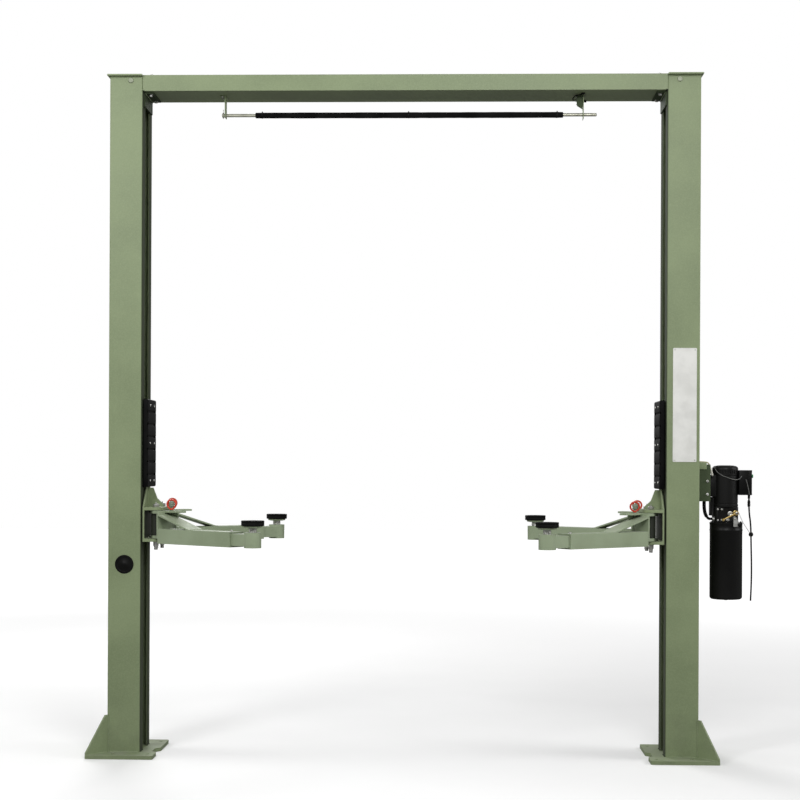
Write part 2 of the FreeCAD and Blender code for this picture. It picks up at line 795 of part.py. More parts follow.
# Limit bar: a padded rod hung under the beam that trips the switch at its right end
def limit_bar():
    rod = round_bar("-bar_left", "0", bar_height, "bar_radius", "bar_left + bar_right", "x")
    collar = round_bar("-bar_left", "0", bar_height, "collar_radius", "collar_length", "x")
    cross_pin = round_bar("-bar_left + collar_length / 2", "-collar_pin_length / 2", bar_height, "collar_pin_radius",
                          "collar_pin_length", "y")
    return fuse(rod, collar, cross_pin)


def limit_bar_sleeve():
    foam = round_bar("-sleeve_left", "0", bar_height, "sleeve_radius", "sleeve_left + sleeve_right", "x")
    bore = round_bar("-sleeve_left", "0", bar_height, "bar_radius", "sleeve_left + sleeve_right", "x")
    return cut(foam, bore)


def bar_hanger(across, tail, rise):
    low = "(%s - %s)" % (bar_height, tail)
    half = "hanger_width / 2"
    blade = box(across, "-" + half, low, "hanger_thickness", "hanger_width", "%s - %s" % (beam_bottom, low))
    foot = box(across + " + hanger_thickness - hanger_foot", "-" + half, beam_bottom + " - hanger_thickness",
               "hanger_foot", "hanger_width", "hanger_thickness")
    holes = [round_bar(across, "0", bar_height, "bar_radius + bar_hole_gap", "hanger_thickness", "x")]
    if rise:
        holes.append(box(across, "-bar_radius - bar_hole_gap", bar_height, "hanger_thickness",
                         "2 * (bar_radius + bar_hole_gap)", "bar_rise"))
        holes.append(round_bar(across, "0", bar_height + " + bar_rise", "bar_radius + bar_hole_gap",
                               "hanger_thickness", "x"))
    return cut(fuse(blade, foot), *holes)


def limit_switch():
    start = "hanger_right - switch_length"
    case = box(start, "-switch_width / 2", beam_bottom + " - hanger_thickness - switch_height", "switch_length",
               "switch_width", "switch_height")
    plunger = round_bar("hanger_right + hanger_thickness", "0", beam_bottom + " - switch_height / 2",
                        "plunger_radius", "plunger_length", "x")
    return fuse(case, plunger)


node(fuse(bar_hanger("-hanger_left", "hanger_left_tail", False),
          bar_hanger("hanger_right", "hanger_right_tail", True)), "bar_hangers")
node(limit_switch(), "limit_switch")
node(limit_bar(), "limit_bar")
node(limit_bar_sleeve(), "limit_bar_sleeve")


# Power unit on the outer face of the right column
def unit_bracket():
    reach = "bracket_depth"
    half = "bracket_half_width"
    front = outer_face + " + bracket_depth - bracket_sheet"
    face = box(front, "-" + half, bracket_bottom, "bracket_sheet", "2 * " + half, "bracket_height")
    cheeks = [box(outer_face, "-" + half, bracket_bottom, reach, "bracket_sheet", "bracket_height"),
              box(outer_face, half + " - bracket_sheet", bracket_bottom, reach, "bracket_sheet", "bracket_height")]
    top = box(outer_face, "-" + half, bracket_bottom + " + bracket_height - bracket_sheet", reach, "2 * " + half,
              "bracket_sheet")
    return fuse(face, top, *cheeks)


def rounded_drum(radius, height, rounding, top):
    body = doc.addObject("PartDesign::Body", "drum")
    sketch = body.newObject("Sketcher::SketchObject", "outline")
    sketch.AttachmentSupport = [(origin_plane(body, "XY_Plane"), "")]
    sketch.MapMode = "FlatFace"
    sketch.addGeometry(Part.Circle(FreeCAD.Vector(), FreeCAD.Vector(0, 0, 1), 50), False)
    sketch.addConstraint(Sketcher.Constraint("Coincident", 0, 3, -1, 1))
    index = sketch.addConstraint(Sketcher.Constraint("Radius", 0, 50))
    sketch.setExpression("Constraints[%d]" % index, sized(radius))
    pad = body.newObject("PartDesign::Pad", "pad")
    pad.Profile = sketch
    bind(pad, Length=height)
    body.Tip = pad
    level = size(height) if top else 0
    return round_edges(body, rounding, lambda edge: edge.Closed and abs(edge.Vertexes[0].Z - level) < 1e-3)


def motor():
    drum = place(rounded_drum("motor_radius", "motor_height", "motor_round", True), unit_line, "0", "motor_bottom")
    start = outer_face + " + bracket_depth"
    foot = box(start, "-foot_width / 2", bracket_bottom + " + foot_rise", "unit_inset - bracket_depth", "foot_width",
               "foot_tall")
    return fuse(drum, foot)


def switch_box():
    start = unit_line + " + motor_radius - box_round"
    case = box(start, "-box_depth / 2", box_bottom, "box_length + box_round", "box_depth", "box_height")
    drum = round_bar(unit_line, "0", "motor_bottom", "motor_radius", "motor_height")
    button = round_bar(unit_line + " + motor_radius + box_length", "0", box_bottom + " + button_height",
                       "button_radius", "button_length", "x")
    return cut(fuse(case, button), drum)


def valve_block():
    block = box(unit_line + " - valve_width / 2", "-valve_depth / 2", block_bottom, "valve_width", "valve_depth",
                "valve_height")
    plug = hexagon(unit_line + " + fitting_shift", "-valve_depth / 2 - fitting_length", "motor_bottom - fitting_drop",
                   "fitting_radius", "fitting_length", "y")
    boss = round_bar(unit_line + " + lever_shift", "lever_clearance - " + lever_back, lever_height,
                     "lever_boss_radius", "%s - lever_clearance - valve_depth / 2" % lever_back, "y")
    stud = round_bar(unit_line + " + lever_shift", "-%s - 2 * lever_sheet" % lever_back, lever_height,
                     "lever_stud_radius", "3 * lever_sheet", "y")
    spacer = round_bar(unit_line + " + spacer_shift", "-" + side_plate_back, "motor_bottom - spacer_drop", "spacer_radius",
                       "%s - valve_depth / 2" % side_plate_back, "y")
    return fuse(block, plug, boss, stud, spacer)


def valve_side_plate():
    left = unit_line + " + side_plate_left"
    right = unit_line + " + side_plate_right"
    low = block_bottom + " - side_plate_drop"
    top = low + " + side_plate_height"
    corners = [(left, low), (right, low), (right, low + " + side_plate_neck"), (left + " + side_plate_neck", top),
               (left, top)]
    plate = prism("XZ_Plane", corners, "side_plate_thickness")
    return place(plate, "0", "-" + side_plate_back, "0")


def release_lever():
    fall = "lever_angle * 1 deg"
    ring = round_bar("0", "0", "0", "lever_bar", "lever_sheet", "y")
    bar = box("-lever_length", "0", "-lever_bar / 2", "lever_length", "lever_sheet", "lever_bar")
    knob = round_bar("-lever_length", "lever_sheet - knob_length", "0", "knob_radius", "knob_length", "y")
    hole = round_bar("0", "0", "0", "lever_stud_radius + lever_clearance", "lever_sheet", "y")
    lever = cut(fuse(ring, bar, knob), hole)
    turn(lever, (0, -1, 0), fall)
    return place(lever, unit_line + " + lever_shift", "-%s - lever_sheet" % lever_back, lever_height)


def oil_tank():
    line = unit_line + " + tank_shift"
    drum = place(rounded_drum("tank_radius", "tank_height", "tank_round", False), line, "0",
                 block_bottom + " - tank_height")
    rim = round_bar(line, "0", block_bottom + " - tank_rim_height", "tank_radius + tank_rim", "tank_rim_height")
    return fuse(drum, rim)


node(unit_bracket(), "power_unit_bracket")
node(motor(), "motor")
node(switch_box(), "switch_box")
node(valve_block(), "valve_block")
node(valve_side_plate(), "valve_side_plate")
node(release_lever(), "release_lever")
node(oil_tank(), "oil_tank")


# Hose and cable: straight runs joined by tangent arcs
def tube(points, radius, name, smallest_share=0.45):
    corners = [FreeCAD.Vector(*point) for point in points]
    edges = []
    last = corners[0]
    for before, corner, after in zip(corners, corners[1:], corners[2:]):
        incoming = (corner - before).normalize()
        outgoing = (after - corner).normalize()
        angle = incoming.getAngle(outgoing)
        run = min((corner - before).Length, (after - corner).Length)
        setback = smallest_share * run
        bend_radius = setback / math.tan(angle / 2)
        print("%s bend radius %.0f mm" % (name, bend_radius))
        start = corner - incoming * setback
        finish = corner + outgoing * setback
        inward = (outgoing - incoming).normalize()
        middle = corner + inward * (bend_radius / math.cos(angle / 2) - bend_radius)
        edges.append(Part.LineSegment(last, start).toShape())
        edges.append(Part.Arc(start, middle, finish).toShape())
        last = finish
    edges.append(Part.LineSegment(last, corners[-1]).toShape())
    path = Part.Wire(edges)
    direction = (corners[1] - corners[0]).normalize()
    section = Part.Wire([Part.Circle(corners[0], direction, radius).toShape()])
    item = doc.addObject("Part::Feature", name)
    item.Shape = path.makePipeShell([section], True, False)
    item.Placement = FreeCAD.Placement()
    expected = math.pi * radius ** 2 * path.Length
    print("%s length %.0f mm, volume share %.4f" % (name, path.Length, item.Shape.Volume / expected))
    return item


right_wall = size("clear_width") / 2 + size("column_width")
unit_axis = right_wall + size("unit_inset")
block_side = unit_axis - size("valve_width") / 2
hose_start = block_side - size("hose_fitting_length")
hose_end = right_wall + size("hose_fitting_length")
bow = block_side - size("hose_bow")
hose_along = -size("hose_side")
hose_low = size("motor_bottom") - size("valve_height") + size("hose_rise")
hose_high = hose_low + size("hose_climb")
hose_bend = 25  # height of the first and the last slanting run
hose_points = [(hose_start, hose_along, hose_low), (bow + 14, hose_along, hose_low),
               (bow - 4, hose_along, hose_low + hose_bend), (bow - 10, hose_along, (hose_low + hose_high) / 2 - 4),
               (bow - 8, hose_along, hose_high - hose_bend), (bow - 19, hose_along, hose_high),
               (hose_end, hose_along, hose_high)]
node(tube(hose_points, size("hose_radius"), "pressure_hose"), "pressure_hose")
node(fuse(round_bar(unit_line + " - valve_width / 2 - hose_fitting_length", "-hose_side", hose_lower,
                    "hose_fitting_radius", "hose_fitting_length", "x"),
          round_bar(outer_face, "-hose_side", hose_upper, "hose_fitting_radius", "hose_fitting_length", "x")),
     "hose_fittings")

# The cable hangs from the underside of the switch box, with a bulge and a ball on it
cable_x = unit_axis + size("motor_radius") + size("cable_shift")
box_underside = size("motor_bottom") + size("box_rise")
cable_top = box_underside - size("gland_length")
bulge_top = box_underside - size("bulge_drop")
ball_middle = box_underside - size("ball_drop")
cable_points = [(cable_x, 0, cable_top), (cable_x, 0, cable_top - 71), (cable_x + 11, 0, ball_middle + 56),
                (cable_x + 13, 0, ball_middle - 59), (cable_x + 16, 0, ball_middle - 174),
                (cable_x + 15, 0, ball_middle - 279), (cable_x + 11, 0, ball_middle - 363)]
node(tube(cable_points, size("cable_radius"), "power_cable"), "power_cable")


def on_cable(first, second, height):
    low, high = FreeCAD.Vector(*second), FreeCAD.Vector(*first)
    return low + (high - low) * ((height - low.z) / (high.z - low.z))


def cable_bulge():
    """A moulded swelling on the first straight run of the cable."""
    top = on_cable(cable_points[0], cable_points[1], bulge_top)
    low = on_cable(cable_points[0], cable_points[1], bulge_top - size("bulge_length"))
    body = Part.makeCylinder(size("bulge_radius"), (low - top).Length, top, low - top)
    bore = Part.makeCylinder(size("cable_radius"), (low - top).Length, top, low - top)
    item = doc.addObject("Part::Feature", "bulge")
    item.Shape = body.cut(bore)
    return item


def cable_ball():
    middle = on_cable(cable_points[2], cable_points[3], ball_middle)
    run = FreeCAD.Vector(*cable_points[3]) - FreeCAD.Vector(*cable_points[2])
    reach = run.normalize() * size("ball_radius")
    bore = Part.makeCylinder(size("cable_radius"), 2 * size("ball_radius"), middle - reach, run)
    item = doc.addObject("Part::Feature", "ball")
    item.Shape = Part.makeSphere(size("ball_radius"), middle).cut(bore)
    return item


node(round_bar(unit_line + " + motor_radius + cable_shift", "0", box_bottom + " - gland_length", "gland_radius",
               "gland_length"), "cable_gland")
node(fuse(cable_bulge(), cable_ball()), "cable_bulge_and_ball")

# Check every object, then write each sub-part to its own file
doc.recompute()
for item in doc.Objects:
    if "Invalid" in item.State or "Error" in item.State:
        raise RuntimeError("%s (%s) failed: %s" % (item.Name, item.Label, item.State))
os.makedirs("parts", exist_ok=True)
for item in nodes:
    shape = item.Shape
    if shape.isNull() or not shape.isValid() or not shape.Solids:
        raise RuntimeError("%s has no valid solid" % item.Label)
    shape.exportStep("parts/%s.step" % item.Label)
    print("%-28s solids %d volume %.0f cm3" % (item.Label, len(shape.Solids), shape.Volume / 1000))
print("%d nodes" % len(nodes))
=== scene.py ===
import json
import math
import random

import bpy
from mathutils import Matrix, Vector


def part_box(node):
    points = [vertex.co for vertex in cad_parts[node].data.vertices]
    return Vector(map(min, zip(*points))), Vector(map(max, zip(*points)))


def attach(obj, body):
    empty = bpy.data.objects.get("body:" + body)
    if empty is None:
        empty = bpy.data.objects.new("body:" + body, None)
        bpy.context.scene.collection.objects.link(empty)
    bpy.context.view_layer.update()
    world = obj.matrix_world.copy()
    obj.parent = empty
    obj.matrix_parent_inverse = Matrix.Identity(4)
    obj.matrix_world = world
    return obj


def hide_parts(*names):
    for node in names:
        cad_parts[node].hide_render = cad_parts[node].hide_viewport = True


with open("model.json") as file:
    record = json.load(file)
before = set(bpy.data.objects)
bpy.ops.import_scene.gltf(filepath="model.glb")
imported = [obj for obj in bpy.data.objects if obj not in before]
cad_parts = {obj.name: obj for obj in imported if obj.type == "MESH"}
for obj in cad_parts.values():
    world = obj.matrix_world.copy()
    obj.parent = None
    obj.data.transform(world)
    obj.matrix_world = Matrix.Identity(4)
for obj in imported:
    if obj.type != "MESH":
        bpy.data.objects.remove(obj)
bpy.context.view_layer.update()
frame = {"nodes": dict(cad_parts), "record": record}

random.seed(4)

mm = 0.001  # turned profiles are in millimetres, all other sizes in metres
up, down, frontward, rightward, leftward = (0, 0, 1), (0, 0, -1), (0, -1, 0), (1, 0, 0), (-1, 0, 0)
sides = {"left": -1, "right": 1}
ends = {"front": -1, "rear": 1}
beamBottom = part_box("overhead_beam")[0].z
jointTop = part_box("beam_joint_plates")[1].z


def eachArm():  # an arm's name, and the signs of its side and its end
    for word, side in sides.items():
        for endWord, end in ends.items():
            yield word + "_" + endWord, side, end


# Selecting and shaping by hand
def leaveEdit():
    if bpy.context.object and bpy.context.object.mode != "OBJECT":
        bpy.ops.object.mode_set(mode="OBJECT")


def startNew():
    leaveEdit()
    bpy.ops.object.select_all(action="DESELECT")


def activate(piece):
    startNew()
    piece.select_set(True)
    bpy.context.view_layer.objects.active = piece
    return piece


def settle(name):  # names what was just added and moves its place into the mesh
    piece = bpy.context.object
    piece.name = name
    activate(piece)
    bpy.ops.object.transform_apply(location=True, rotation=True, scale=True)
    return piece


def pick(piece, kind, test):  # enters edit mode with only the faces or edges that pass the test selected
    activate(piece)
    mesh = piece.data
    for group in (mesh.vertices, mesh.edges, mesh.polygons):
        group.foreach_set("select", [False] * len(group))
    bpy.context.tool_settings.mesh_select_mode = (False, kind == "edges", kind == "faces")
    if kind == "faces":
        for face in mesh.polygons:
            face.select = test(face.center, face.normal)
    else:
        for edge in mesh.edges:
            edge.select = test(*(mesh.vertices[end].co for end in edge.vertices))
    bpy.ops.object.mode_set(mode="EDIT")


def toward(direction):  # a test for the faces that look a given way
    aim = Vector(direction)
    return lambda middle, normal: normal.dot(aim) > 0.9


def pushOut(offset):
    bpy.ops.mesh.extrude_region_move(TRANSFORM_OT_translate={"value": offset})


def press(piece, direction, *steps):  # insets the faces that look a given way and moves them, once a step
    pick(piece, "faces", toward(direction))
    for margin, rise in steps:
        bpy.ops.mesh.inset(thickness=margin)
        pushOut(Vector(direction) * rise)
    leaveEdit()
    return piece


def shift(piece, kind, test, offset):
    pick(piece, kind, test)
    bpy.ops.transform.translate(value=offset)
    leaveEdit()


def trimEdges(piece, test, width, segments=1):
    pick(piece, "edges", test)
    bpy.ops.mesh.bevel(offset=width, segments=segments, affect="EDGES")
    leaveEdit()


def foldBack(piece, thickness, reach):  # a lip turned back from the top of a standing plate
    top = max(corner.co.z for corner in piece.data.vertices)
    pick(piece, "faces", toward(up))
    pushOut((0, 0, thickness))
    leaveEdit()
    pick(piece, "faces", lambda middle, normal: normal.y > 0.9 and middle.z > top)
    pushOut((0, reach, 0))
    leaveEdit()


def cutAcross(piece, direction, offsets):
    pick(piece, "faces", lambda middle, normal: True)
    for offset in offsets:
        bpy.ops.mesh.select_all(action="SELECT")
        bpy.ops.mesh.bisect(plane_co=Vector(direction) * offset, plane_no=direction)
    leaveEdit()


def smooth(angle=35):
    bpy.ops.object.shade_smooth_by_angle(angle=math.radians(angle))


def rounded(piece, width, segments=2, angle=30):  # a bevel modifier, applied
    activate(piece)
    bevel = piece.modifiers.new("softEdge", "BEVEL")
    bevel.width = width
    bevel.segments = segments
    bevel.limit_method = "ANGLE"
    bevel.angle_limit = math.radians(angle)
    bevel.use_clamp_overlap = True
    bpy.ops.object.modifier_apply(modifier=bevel.name)
    bpy.ops.object.mode_set(mode="EDIT")
    bpy.ops.mesh.select_all(action="SELECT")
    bpy.ops.mesh.remove_doubles(threshold=2e-6)  # a clamped bevel can leave edges of no length
    leaveEdit()
    smooth(40)
    return piece


def addBlock(name, low, high):
    startNew()
    low, high = Vector(low), Vector(high)
    bpy.ops.mesh.primitive_cube_add(size=1, location=(low + high) / 2)
    bpy.context.object.scale = high - low
    return settle(name)


def addHexagon(name, start, direction, radius, length):
    startNew()
    direction = Vector(direction)
    turn = direction.to_track_quat("Z", "Y").to_euler()
    bpy.ops.mesh.primitive_cylinder_add(vertices=6, radius=radius, depth=length, rotation=turn,
                                        location=Vector(start) + direction * length / 2)
    return settle(name)


def addRing(name, middle, direction, radius, wire):
    startNew()
    turn = Vector(direction).to_track_quat("Z", "Y").to_euler()
    bpy.ops.mesh.primitive_torus_add(major_segments=40, minor_segments=12, major_radius=radius,
                                     minor_radius=wire, location=middle, rotation=turn)
    ring = settle(name)
    bpy.ops.object.shade_smooth()
    return ring


def joined(pieces, name):
    activate(pieces[0])
    for piece in pieces:
        piece.select_set(True)
    if len(pieces) > 1:
        bpy.ops.object.join()
    pieces[0].name = name
    return pieces[0]


def copyOf(piece, name, matrix):
    other = piece.copy()
    other.data = piece.data.copy()
    other.name = name
    other.data.transform(matrix)
    if matrix.determinant() < 0:
        other.data.flip_normals()
    bpy.context.scene.collection.objects.link(other)
    return other


def dropPieces(*pieces):  # patterns go once their copies are made
    for piece in pieces:
        mesh = piece.data
        bpy.data.objects.remove(piece)
        bpy.data.meshes.remove(mesh)


def dress(piece, body, material, slot, *replaced):
    leaveEdit()
    piece.data.materials.clear()
    piece.data.materials.append(material)
    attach(piece, body)
    if replaced:
        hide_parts(*replaced)
    return piece


# Shader nodes: short ways to add them, then the groups that the materials share
def addNode(tree, kind, **settings):
    node = tree.nodes.new("ShaderNode" + kind)
    for label, value in settings.items():
        setattr(node, label, value)
    return node


def feed(tree, socket, value):  # links an output, or sets a number or a colour
    if hasattr(value, "is_linked"):
        tree.links.new(value, socket)
    else:
        socket.default_value = value


def mathNode(tree, operation, *values):
    node = addNode(tree, "Math", operation=operation)
    for socket, value in zip(node.inputs, values):
        feed(tree, socket, value)
    return node.outputs[0]


def product(tree, first, second):
    return mathNode(tree, "MULTIPLY", first, second)


def inverse(tree, value):
    return mathNode(tree, "SUBTRACT", 1.0, value)


def between(tree, value, low, high):
    return product(tree, mathNode(tree, "GREATER_THAN", value, low), mathNode(tree, "LESS_THAN", value, high))


def mixColor(tree, share, first, second):
    node = addNode(tree, "Mix", data_type="RGBA")
    feed(tree, node.inputs[0], share)
    for socket, value in ((node.inputs[6], first), (node.inputs[7], second)):
        feed(tree, socket, (*value, 1) if isinstance(value, tuple) else value)
    return node.outputs[2]


def noiseNode(tree, scale, detail=4.0, roughness=0.5):
    node = addNode(tree, "TexNoise")
    node.inputs["Detail"].default_value = detail
    node.inputs["Roughness"].default_value = roughness
    tree.links.new(objectPlace(tree), node.inputs["Vector"])
    feed(tree, node.inputs["Scale"], scale)
    return node.outputs["Fac"]


def rampNode(tree, value, low, high):
    node = addNode(tree, "MapRange", interpolation_type="SMOOTHSTEP")
    tree.links.new(value, node.inputs["Value"])
    node.inputs["From Min"].default_value = low
    node.inputs["From Max"].default_value = high
    return node.outputs["Result"]


def objectPlace(tree):
    return addNode(tree, "TexCoord").outputs["Object"]


def apart(tree, vector):
    node = addNode(tree, "SeparateXYZ")
    tree.links.new(vector, node.inputs[0])
    return node.outputs


def newGroup(name, inputs, outputs):
    tree = bpy.data.node_groups.new(name, "ShaderNodeTree")
    for label, value in inputs.items():
        socket = tree.interface.new_socket(name=label, in_out="INPUT", socket_type="NodeSocketFloat")
        socket.default_value = value
    for label in outputs:
        kind = "NodeSocketVector" if label.endswith("Normal") else "NodeSocketFloat"
        tree.interface.new_socket(name=label, in_out="OUTPUT", socket_type=kind)
    return tree, tree.nodes.new("NodeGroupInput").outputs, tree.nodes.new("NodeGroupOutput").inputs


def buildMottle():  # slow cloudy change of tone, and a fine speckle
    tree, start, finish = newGroup("Mottle", {"Cloud Scale": 3.0, "Speckle Scale": 160.0}, ["Cloud", "Speckle"])
    tree.links.new(noiseNode(tree, start["Cloud Scale"], 5, 0.55), finish["Cloud"])
    tree.links.new(noiseNode(tree, start["Speckle Scale"], 3, 0.6), finish["Speckle"])
    return tree


def buildEdgeWear():  # a mask along sharp edges, broken up by noise, and the softened normal
    tree, start, finish = newGroup("Edge Wear", {"Radius": 0.003, "Breakup": 40.0}, ["Mask", "Soft Normal"])
    bevel = addNode(tree, "Bevel", samples=4)
    tree.links.new(start["Radius"], bevel.inputs["Radius"])
    dot = addNode(tree, "VectorMath", operation="DOT_PRODUCT")
    tree.links.new(bevel.outputs["Normal"], dot.inputs[0])
    tree.links.new(addNode(tree, "NewGeometry").outputs["Normal"], dot.inputs[1])
    edge = rampNode(tree, inverse(tree, dot.outputs["Value"]), 0.02, 0.16)
    broken = rampNode(tree, noiseNode(tree, start["Breakup"], 5, 0.65), 0.42, 0.62)
    tree.links.new(product(tree, edge, broken), finish["Mask"])
    tree.links.new(bevel.outputs["Normal"], finish["Soft Normal"])
    return tree


def buildDust():  # pale dust that settles on what faces up, and a patchy darkening towards the bottom
    tree, start, finish = newGroup("Dust", {"Grime Height": 0.35}, ["Dust", "Low Darkening"])
    patch = noiseNode(tree, 9.0, 6, 0.6)
    facing = rampNode(tree, apart(tree, addNode(tree, "NewGeometry").outputs["Normal"])["Z"], 0.5, 1.0)
    tree.links.new(product(tree, facing, rampNode(tree, patch, 0.35, 0.7)), finish["Dust"])
    # darker towards the bottom, in patches
    height = mathNode(tree, "DIVIDE", apart(tree, objectPlace(tree))["Z"], start["Grime Height"])
    low = rampNode(tree, inverse(tree, height), 0.0, 1.0)
    tree.links.new(product(tree, low, rampNode(tree, patch, 0.3, 0.75)), finish["Low Darkening"])
    return tree


# where painted shade is laid: around the arm pins, inside the yokes and on the inner faces of the columns' lips
hinge = {"across": 1.350, "along": 0.095, "reach": 0.037, "fade": 0.006, "inner": 1.300, "web": 1.4078,
         "half": 0.128, "low": 1.186, "high": 1.3345, "lipInside": 1.415, "lipFace": 1.4256, "lipBend": 1.430,
         "lipBottom": 0.0205, "lipTop": 3.628}


def buildHingeShade():  # painted shade around the arm pins and inside the yokes, and on the inner faces of the columns' lips
    tree, start, finish = newGroup("Hinge Painted Shade", {"Yoke Share": 0.0}, ["Mask", "Lip"])
    place = apart(tree, objectPlace(tree))
    across, along = mathNode(tree, "ABSOLUTE", place["X"]), mathNode(tree, "ABSOLUTE", place["Y"])
    aside = mathNode(tree, "SUBTRACT", across, hinge["across"])
    ahead = mathNode(tree, "SUBTRACT", along, hinge["along"])
    spread = mathNode(tree, "ADD", product(tree, aside, aside), product(tree, ahead, ahead))
    away = mathNode(tree, "SQRT", spread)
    around = inverse(tree, rampNode(tree, away, hinge["reach"], hinge["reach"] + hinge["fade"]))
    within = product(tree, between(tree, across, hinge["inner"], hinge["web"]),
                     mathNode(tree, "LESS_THAN", along, hinge["half"]))
    either = mathNode(tree, "MAXIMUM", around, product(tree, within, start["Yoke Share"]))
    level = between(tree, place["Z"], hinge["low"], hinge["high"])
    tree.links.new(product(tree, either, level), finish["Mask"])
    # painted shade on the inner faces of the columns' lips, fading out round their bend
    face = product(tree, inverse(tree, rampNode(tree, across, hinge["lipFace"], hinge["lipBend"])),
                   mathNode(tree, "GREATER_THAN", across, hinge["lipInside"]))
    tree.links.new(product(tree, face, between(tree, place["Z"], hinge["lipBottom"], hinge["lipTop"])),
                   finish["Lip"])
    return tree


mottleGroup = buildMottle()
edgeWearGroup = buildEdgeWear()
dustGroup = buildDust()
hingeGroup = buildHingeShade()


def placeGroup(tree, group, **values):
    node = addNode(tree, "Group", node_tree=group)
    for label, value in values.items():
        node.inputs[label.replace("_", " ")].default_value = value
    return node.outputs


def newMaterial(name):
    material = bpy.data.materials.new(name)
    material.use_nodes = True
    return material, material.node_tree, material.node_tree.nodes["Principled BSDF"]


def startMaterial(name, look, breakup):  # a material with its shader's gloss, its mottling and its edge wear
    material, tree, shader = newMaterial(name)
    mottle = placeGroup(tree, mottleGroup, Cloud_Scale=look["cloud"], Speckle_Scale=look["speckle"])
    wear = placeGroup(tree, edgeWearGroup, Radius=look["edge"], Breakup=breakup)
    bump = addNode(tree, "Bump")
    bump.inputs["Strength"].default_value = look["bump"]
    bump.inputs["Distance"].default_value = look["depth"]
    tree.links.new(mottle["Speckle"], bump.inputs["Height"])
    tree.links.new(wear["Soft Normal"], bump.inputs["Normal"])
    tree.links.new(bump.outputs["Normal"], shader.inputs["Normal"])
    shader.inputs["Specular IOR Level"].default_value = look["specular"]
    return material, tree, shader.inputs, mottle, wear


# Painted steel: a base tone, cloudy mottling, orange peel, worn edges, dust, a patchy darkening low down, and
# painted shade at the arm pins, inside the yokes and on the columns' lips
def paintMaterial(name, look):
    material, tree, inputs, mottle, wear = startMaterial(name, look, look["breakup"])
    dust = placeGroup(tree, dustGroup, Grime_Height=look["darkeningHeight"])
    hingeShade = placeGroup(tree, hingeGroup, Yoke_Share=look["yokeShare"])
    speckle = rampNode(tree, mottle["Speckle"], 0.35, 0.75)
    worn, lip = product(tree, wear["Mask"], look["wear"]), product(tree, hingeShade["Lip"], look["lipShade"])
    color = mixColor(tree, rampNode(tree, mottle["Cloud"], 0.3, 0.7), look["dark"], look["light"])
    # the tones mixed in: flecks, a patchy darkening low down, dust, bare edges, painted shade at the arm pins
    # and inside the yokes, and painted shade on the columns' lips
    for mask, tone in ((product(tree, speckle, look["speckleShare"]), "fleck"),
                       (product(tree, dust["Low Darkening"], look["lowDarkening"]), "lowDarkTone"),
                       (product(tree, dust["Dust"], look["dust"]), "dustTone"), (worn, "bare"),
                       (product(tree, hingeShade["Mask"], look["hingeShadeShare"]), "hingeShadeTone"), (lip, "lipShadeTone")):
        color = mixColor(tree, mask, color, look[tone])
    tree.links.new(color, inputs["Base Color"])
    rough = mathNode(tree, "MULTIPLY_ADD", mottle["Cloud"], 0.18, look["rough"] - 0.09)
    rough = mathNode(tree, "MULTIPLY_ADD", dust["Dust"], 0.25, rough)
    tree.links.new(mathNode(tree, "MULTIPLY_ADD", lip, 0.45, rough), inputs["Roughness"])
    tree.links.new(product(tree, worn, look["metalWear"]), inputs["Metallic"])
    return material


# the two darkest tones of the sage paint are painted shade: at the arm pins and in the yokes, and on the
# columns' lips
sagePaint = {"dark": (0.180, 0.225, 0.119), "light": (0.225, 0.278, 0.150), "fleck": (0.28, 0.34, 0.20),
             "bare": (0.36, 0.40, 0.31), "dustTone": (0.36, 0.37, 0.31), "lowDarkTone": (0.10, 0.11, 0.07),
             "hingeShadeTone": (0.010, 0.012, 0.008), "lipShadeTone": (0.012, 0.017, 0.008),
             "cloud": 2.6, "speckle": 130.0, "speckleShare": 0.34, "edge": 0.0025, "breakup": 35.0, "wear": 0.55,
             "metalWear": 0.2, "dust": 0.35, "lowDarkening": 0.35, "darkeningHeight": 0.5, "yokeShare": 1.0, "hingeShadeShare": 0.95,
             "lipShade": 0.85, "rough": 0.50, "bump": 0.25, "depth": 0.0004, "specular": 0.35}
# without the painted shade of the yokes and the lips; the painted shade at the arm pins stays
cleanPaint = dict(sagePaint, yokeShare=0.0, lipShade=0.0)
armPaint = dict(cleanPaint, dark=(0.220, 0.268, 0.170), light=(0.292, 0.350, 0.235), bare=(0.42, 0.45, 0.38),
                wear=0.8, darkeningHeight=0.1)
lockPaint = dict(cleanPaint, dark=(0.155, 0.185, 0.135), light=(0.200, 0.235, 0.170), speckleShare=0.1,
                 rough=0.38, darkeningHeight=0.1, wear=0.5)
# the sage paint darkened as painted shade, for parts that sit in shade
paintedShadeLook = dict(cleanPaint, dark=(0.038, 0.052, 0.027), light=(0.055, 0.073, 0.040), speckleShare=0.12,
                  fleck=(0.10, 0.13, 0.07), bare=(0.11, 0.14, 0.09), dust=0.15, specular=0.08, rough=0.65)
blackPaint = dict(cleanPaint, dark=(0.0028, 0.0028, 0.0027), light=(0.0058, 0.0058, 0.0055), wear=0.5,
                  fleck=(0.014, 0.014, 0.013), bare=(0.05, 0.05, 0.047), speckleShare=0.12, darkeningHeight=0.1,
                  dust=0.06, rough=0.42, bump=0.15, specular=0.16)
frameSage = paintMaterial("frameSage", sagePaint)
armSage = paintMaterial("armSage", armPaint)
lockSage = paintMaterial("unitSage", lockPaint)
paintedShadeSage = paintMaterial("paintedShadeSage", paintedShadeLook)
unitBlack = paintMaterial("unitBlack", blackPaint)


# Bare and plated metals: stains, fine speckle and brightened edges
def metalMaterial(name, look):
    material, tree, inputs, mottle, wear = startMaterial(name, look, 80.0)
    color = mixColor(tree, rampNode(tree, mottle["Cloud"], 0.35, 0.75), look["light"], look["dark"])
    color = mixColor(tree, product(tree, wear["Mask"], 0.5), color, look["bright"])
    tree.links.new(color, inputs["Base Color"])
    inputs["Metallic"].default_value = look["metallic"]
    rough = mathNode(tree, "MULTIPLY_ADD", mottle["Speckle"], 0.25, look["rough"] - 0.12)
    tree.links.new(rough, inputs["Roughness"])
    return material


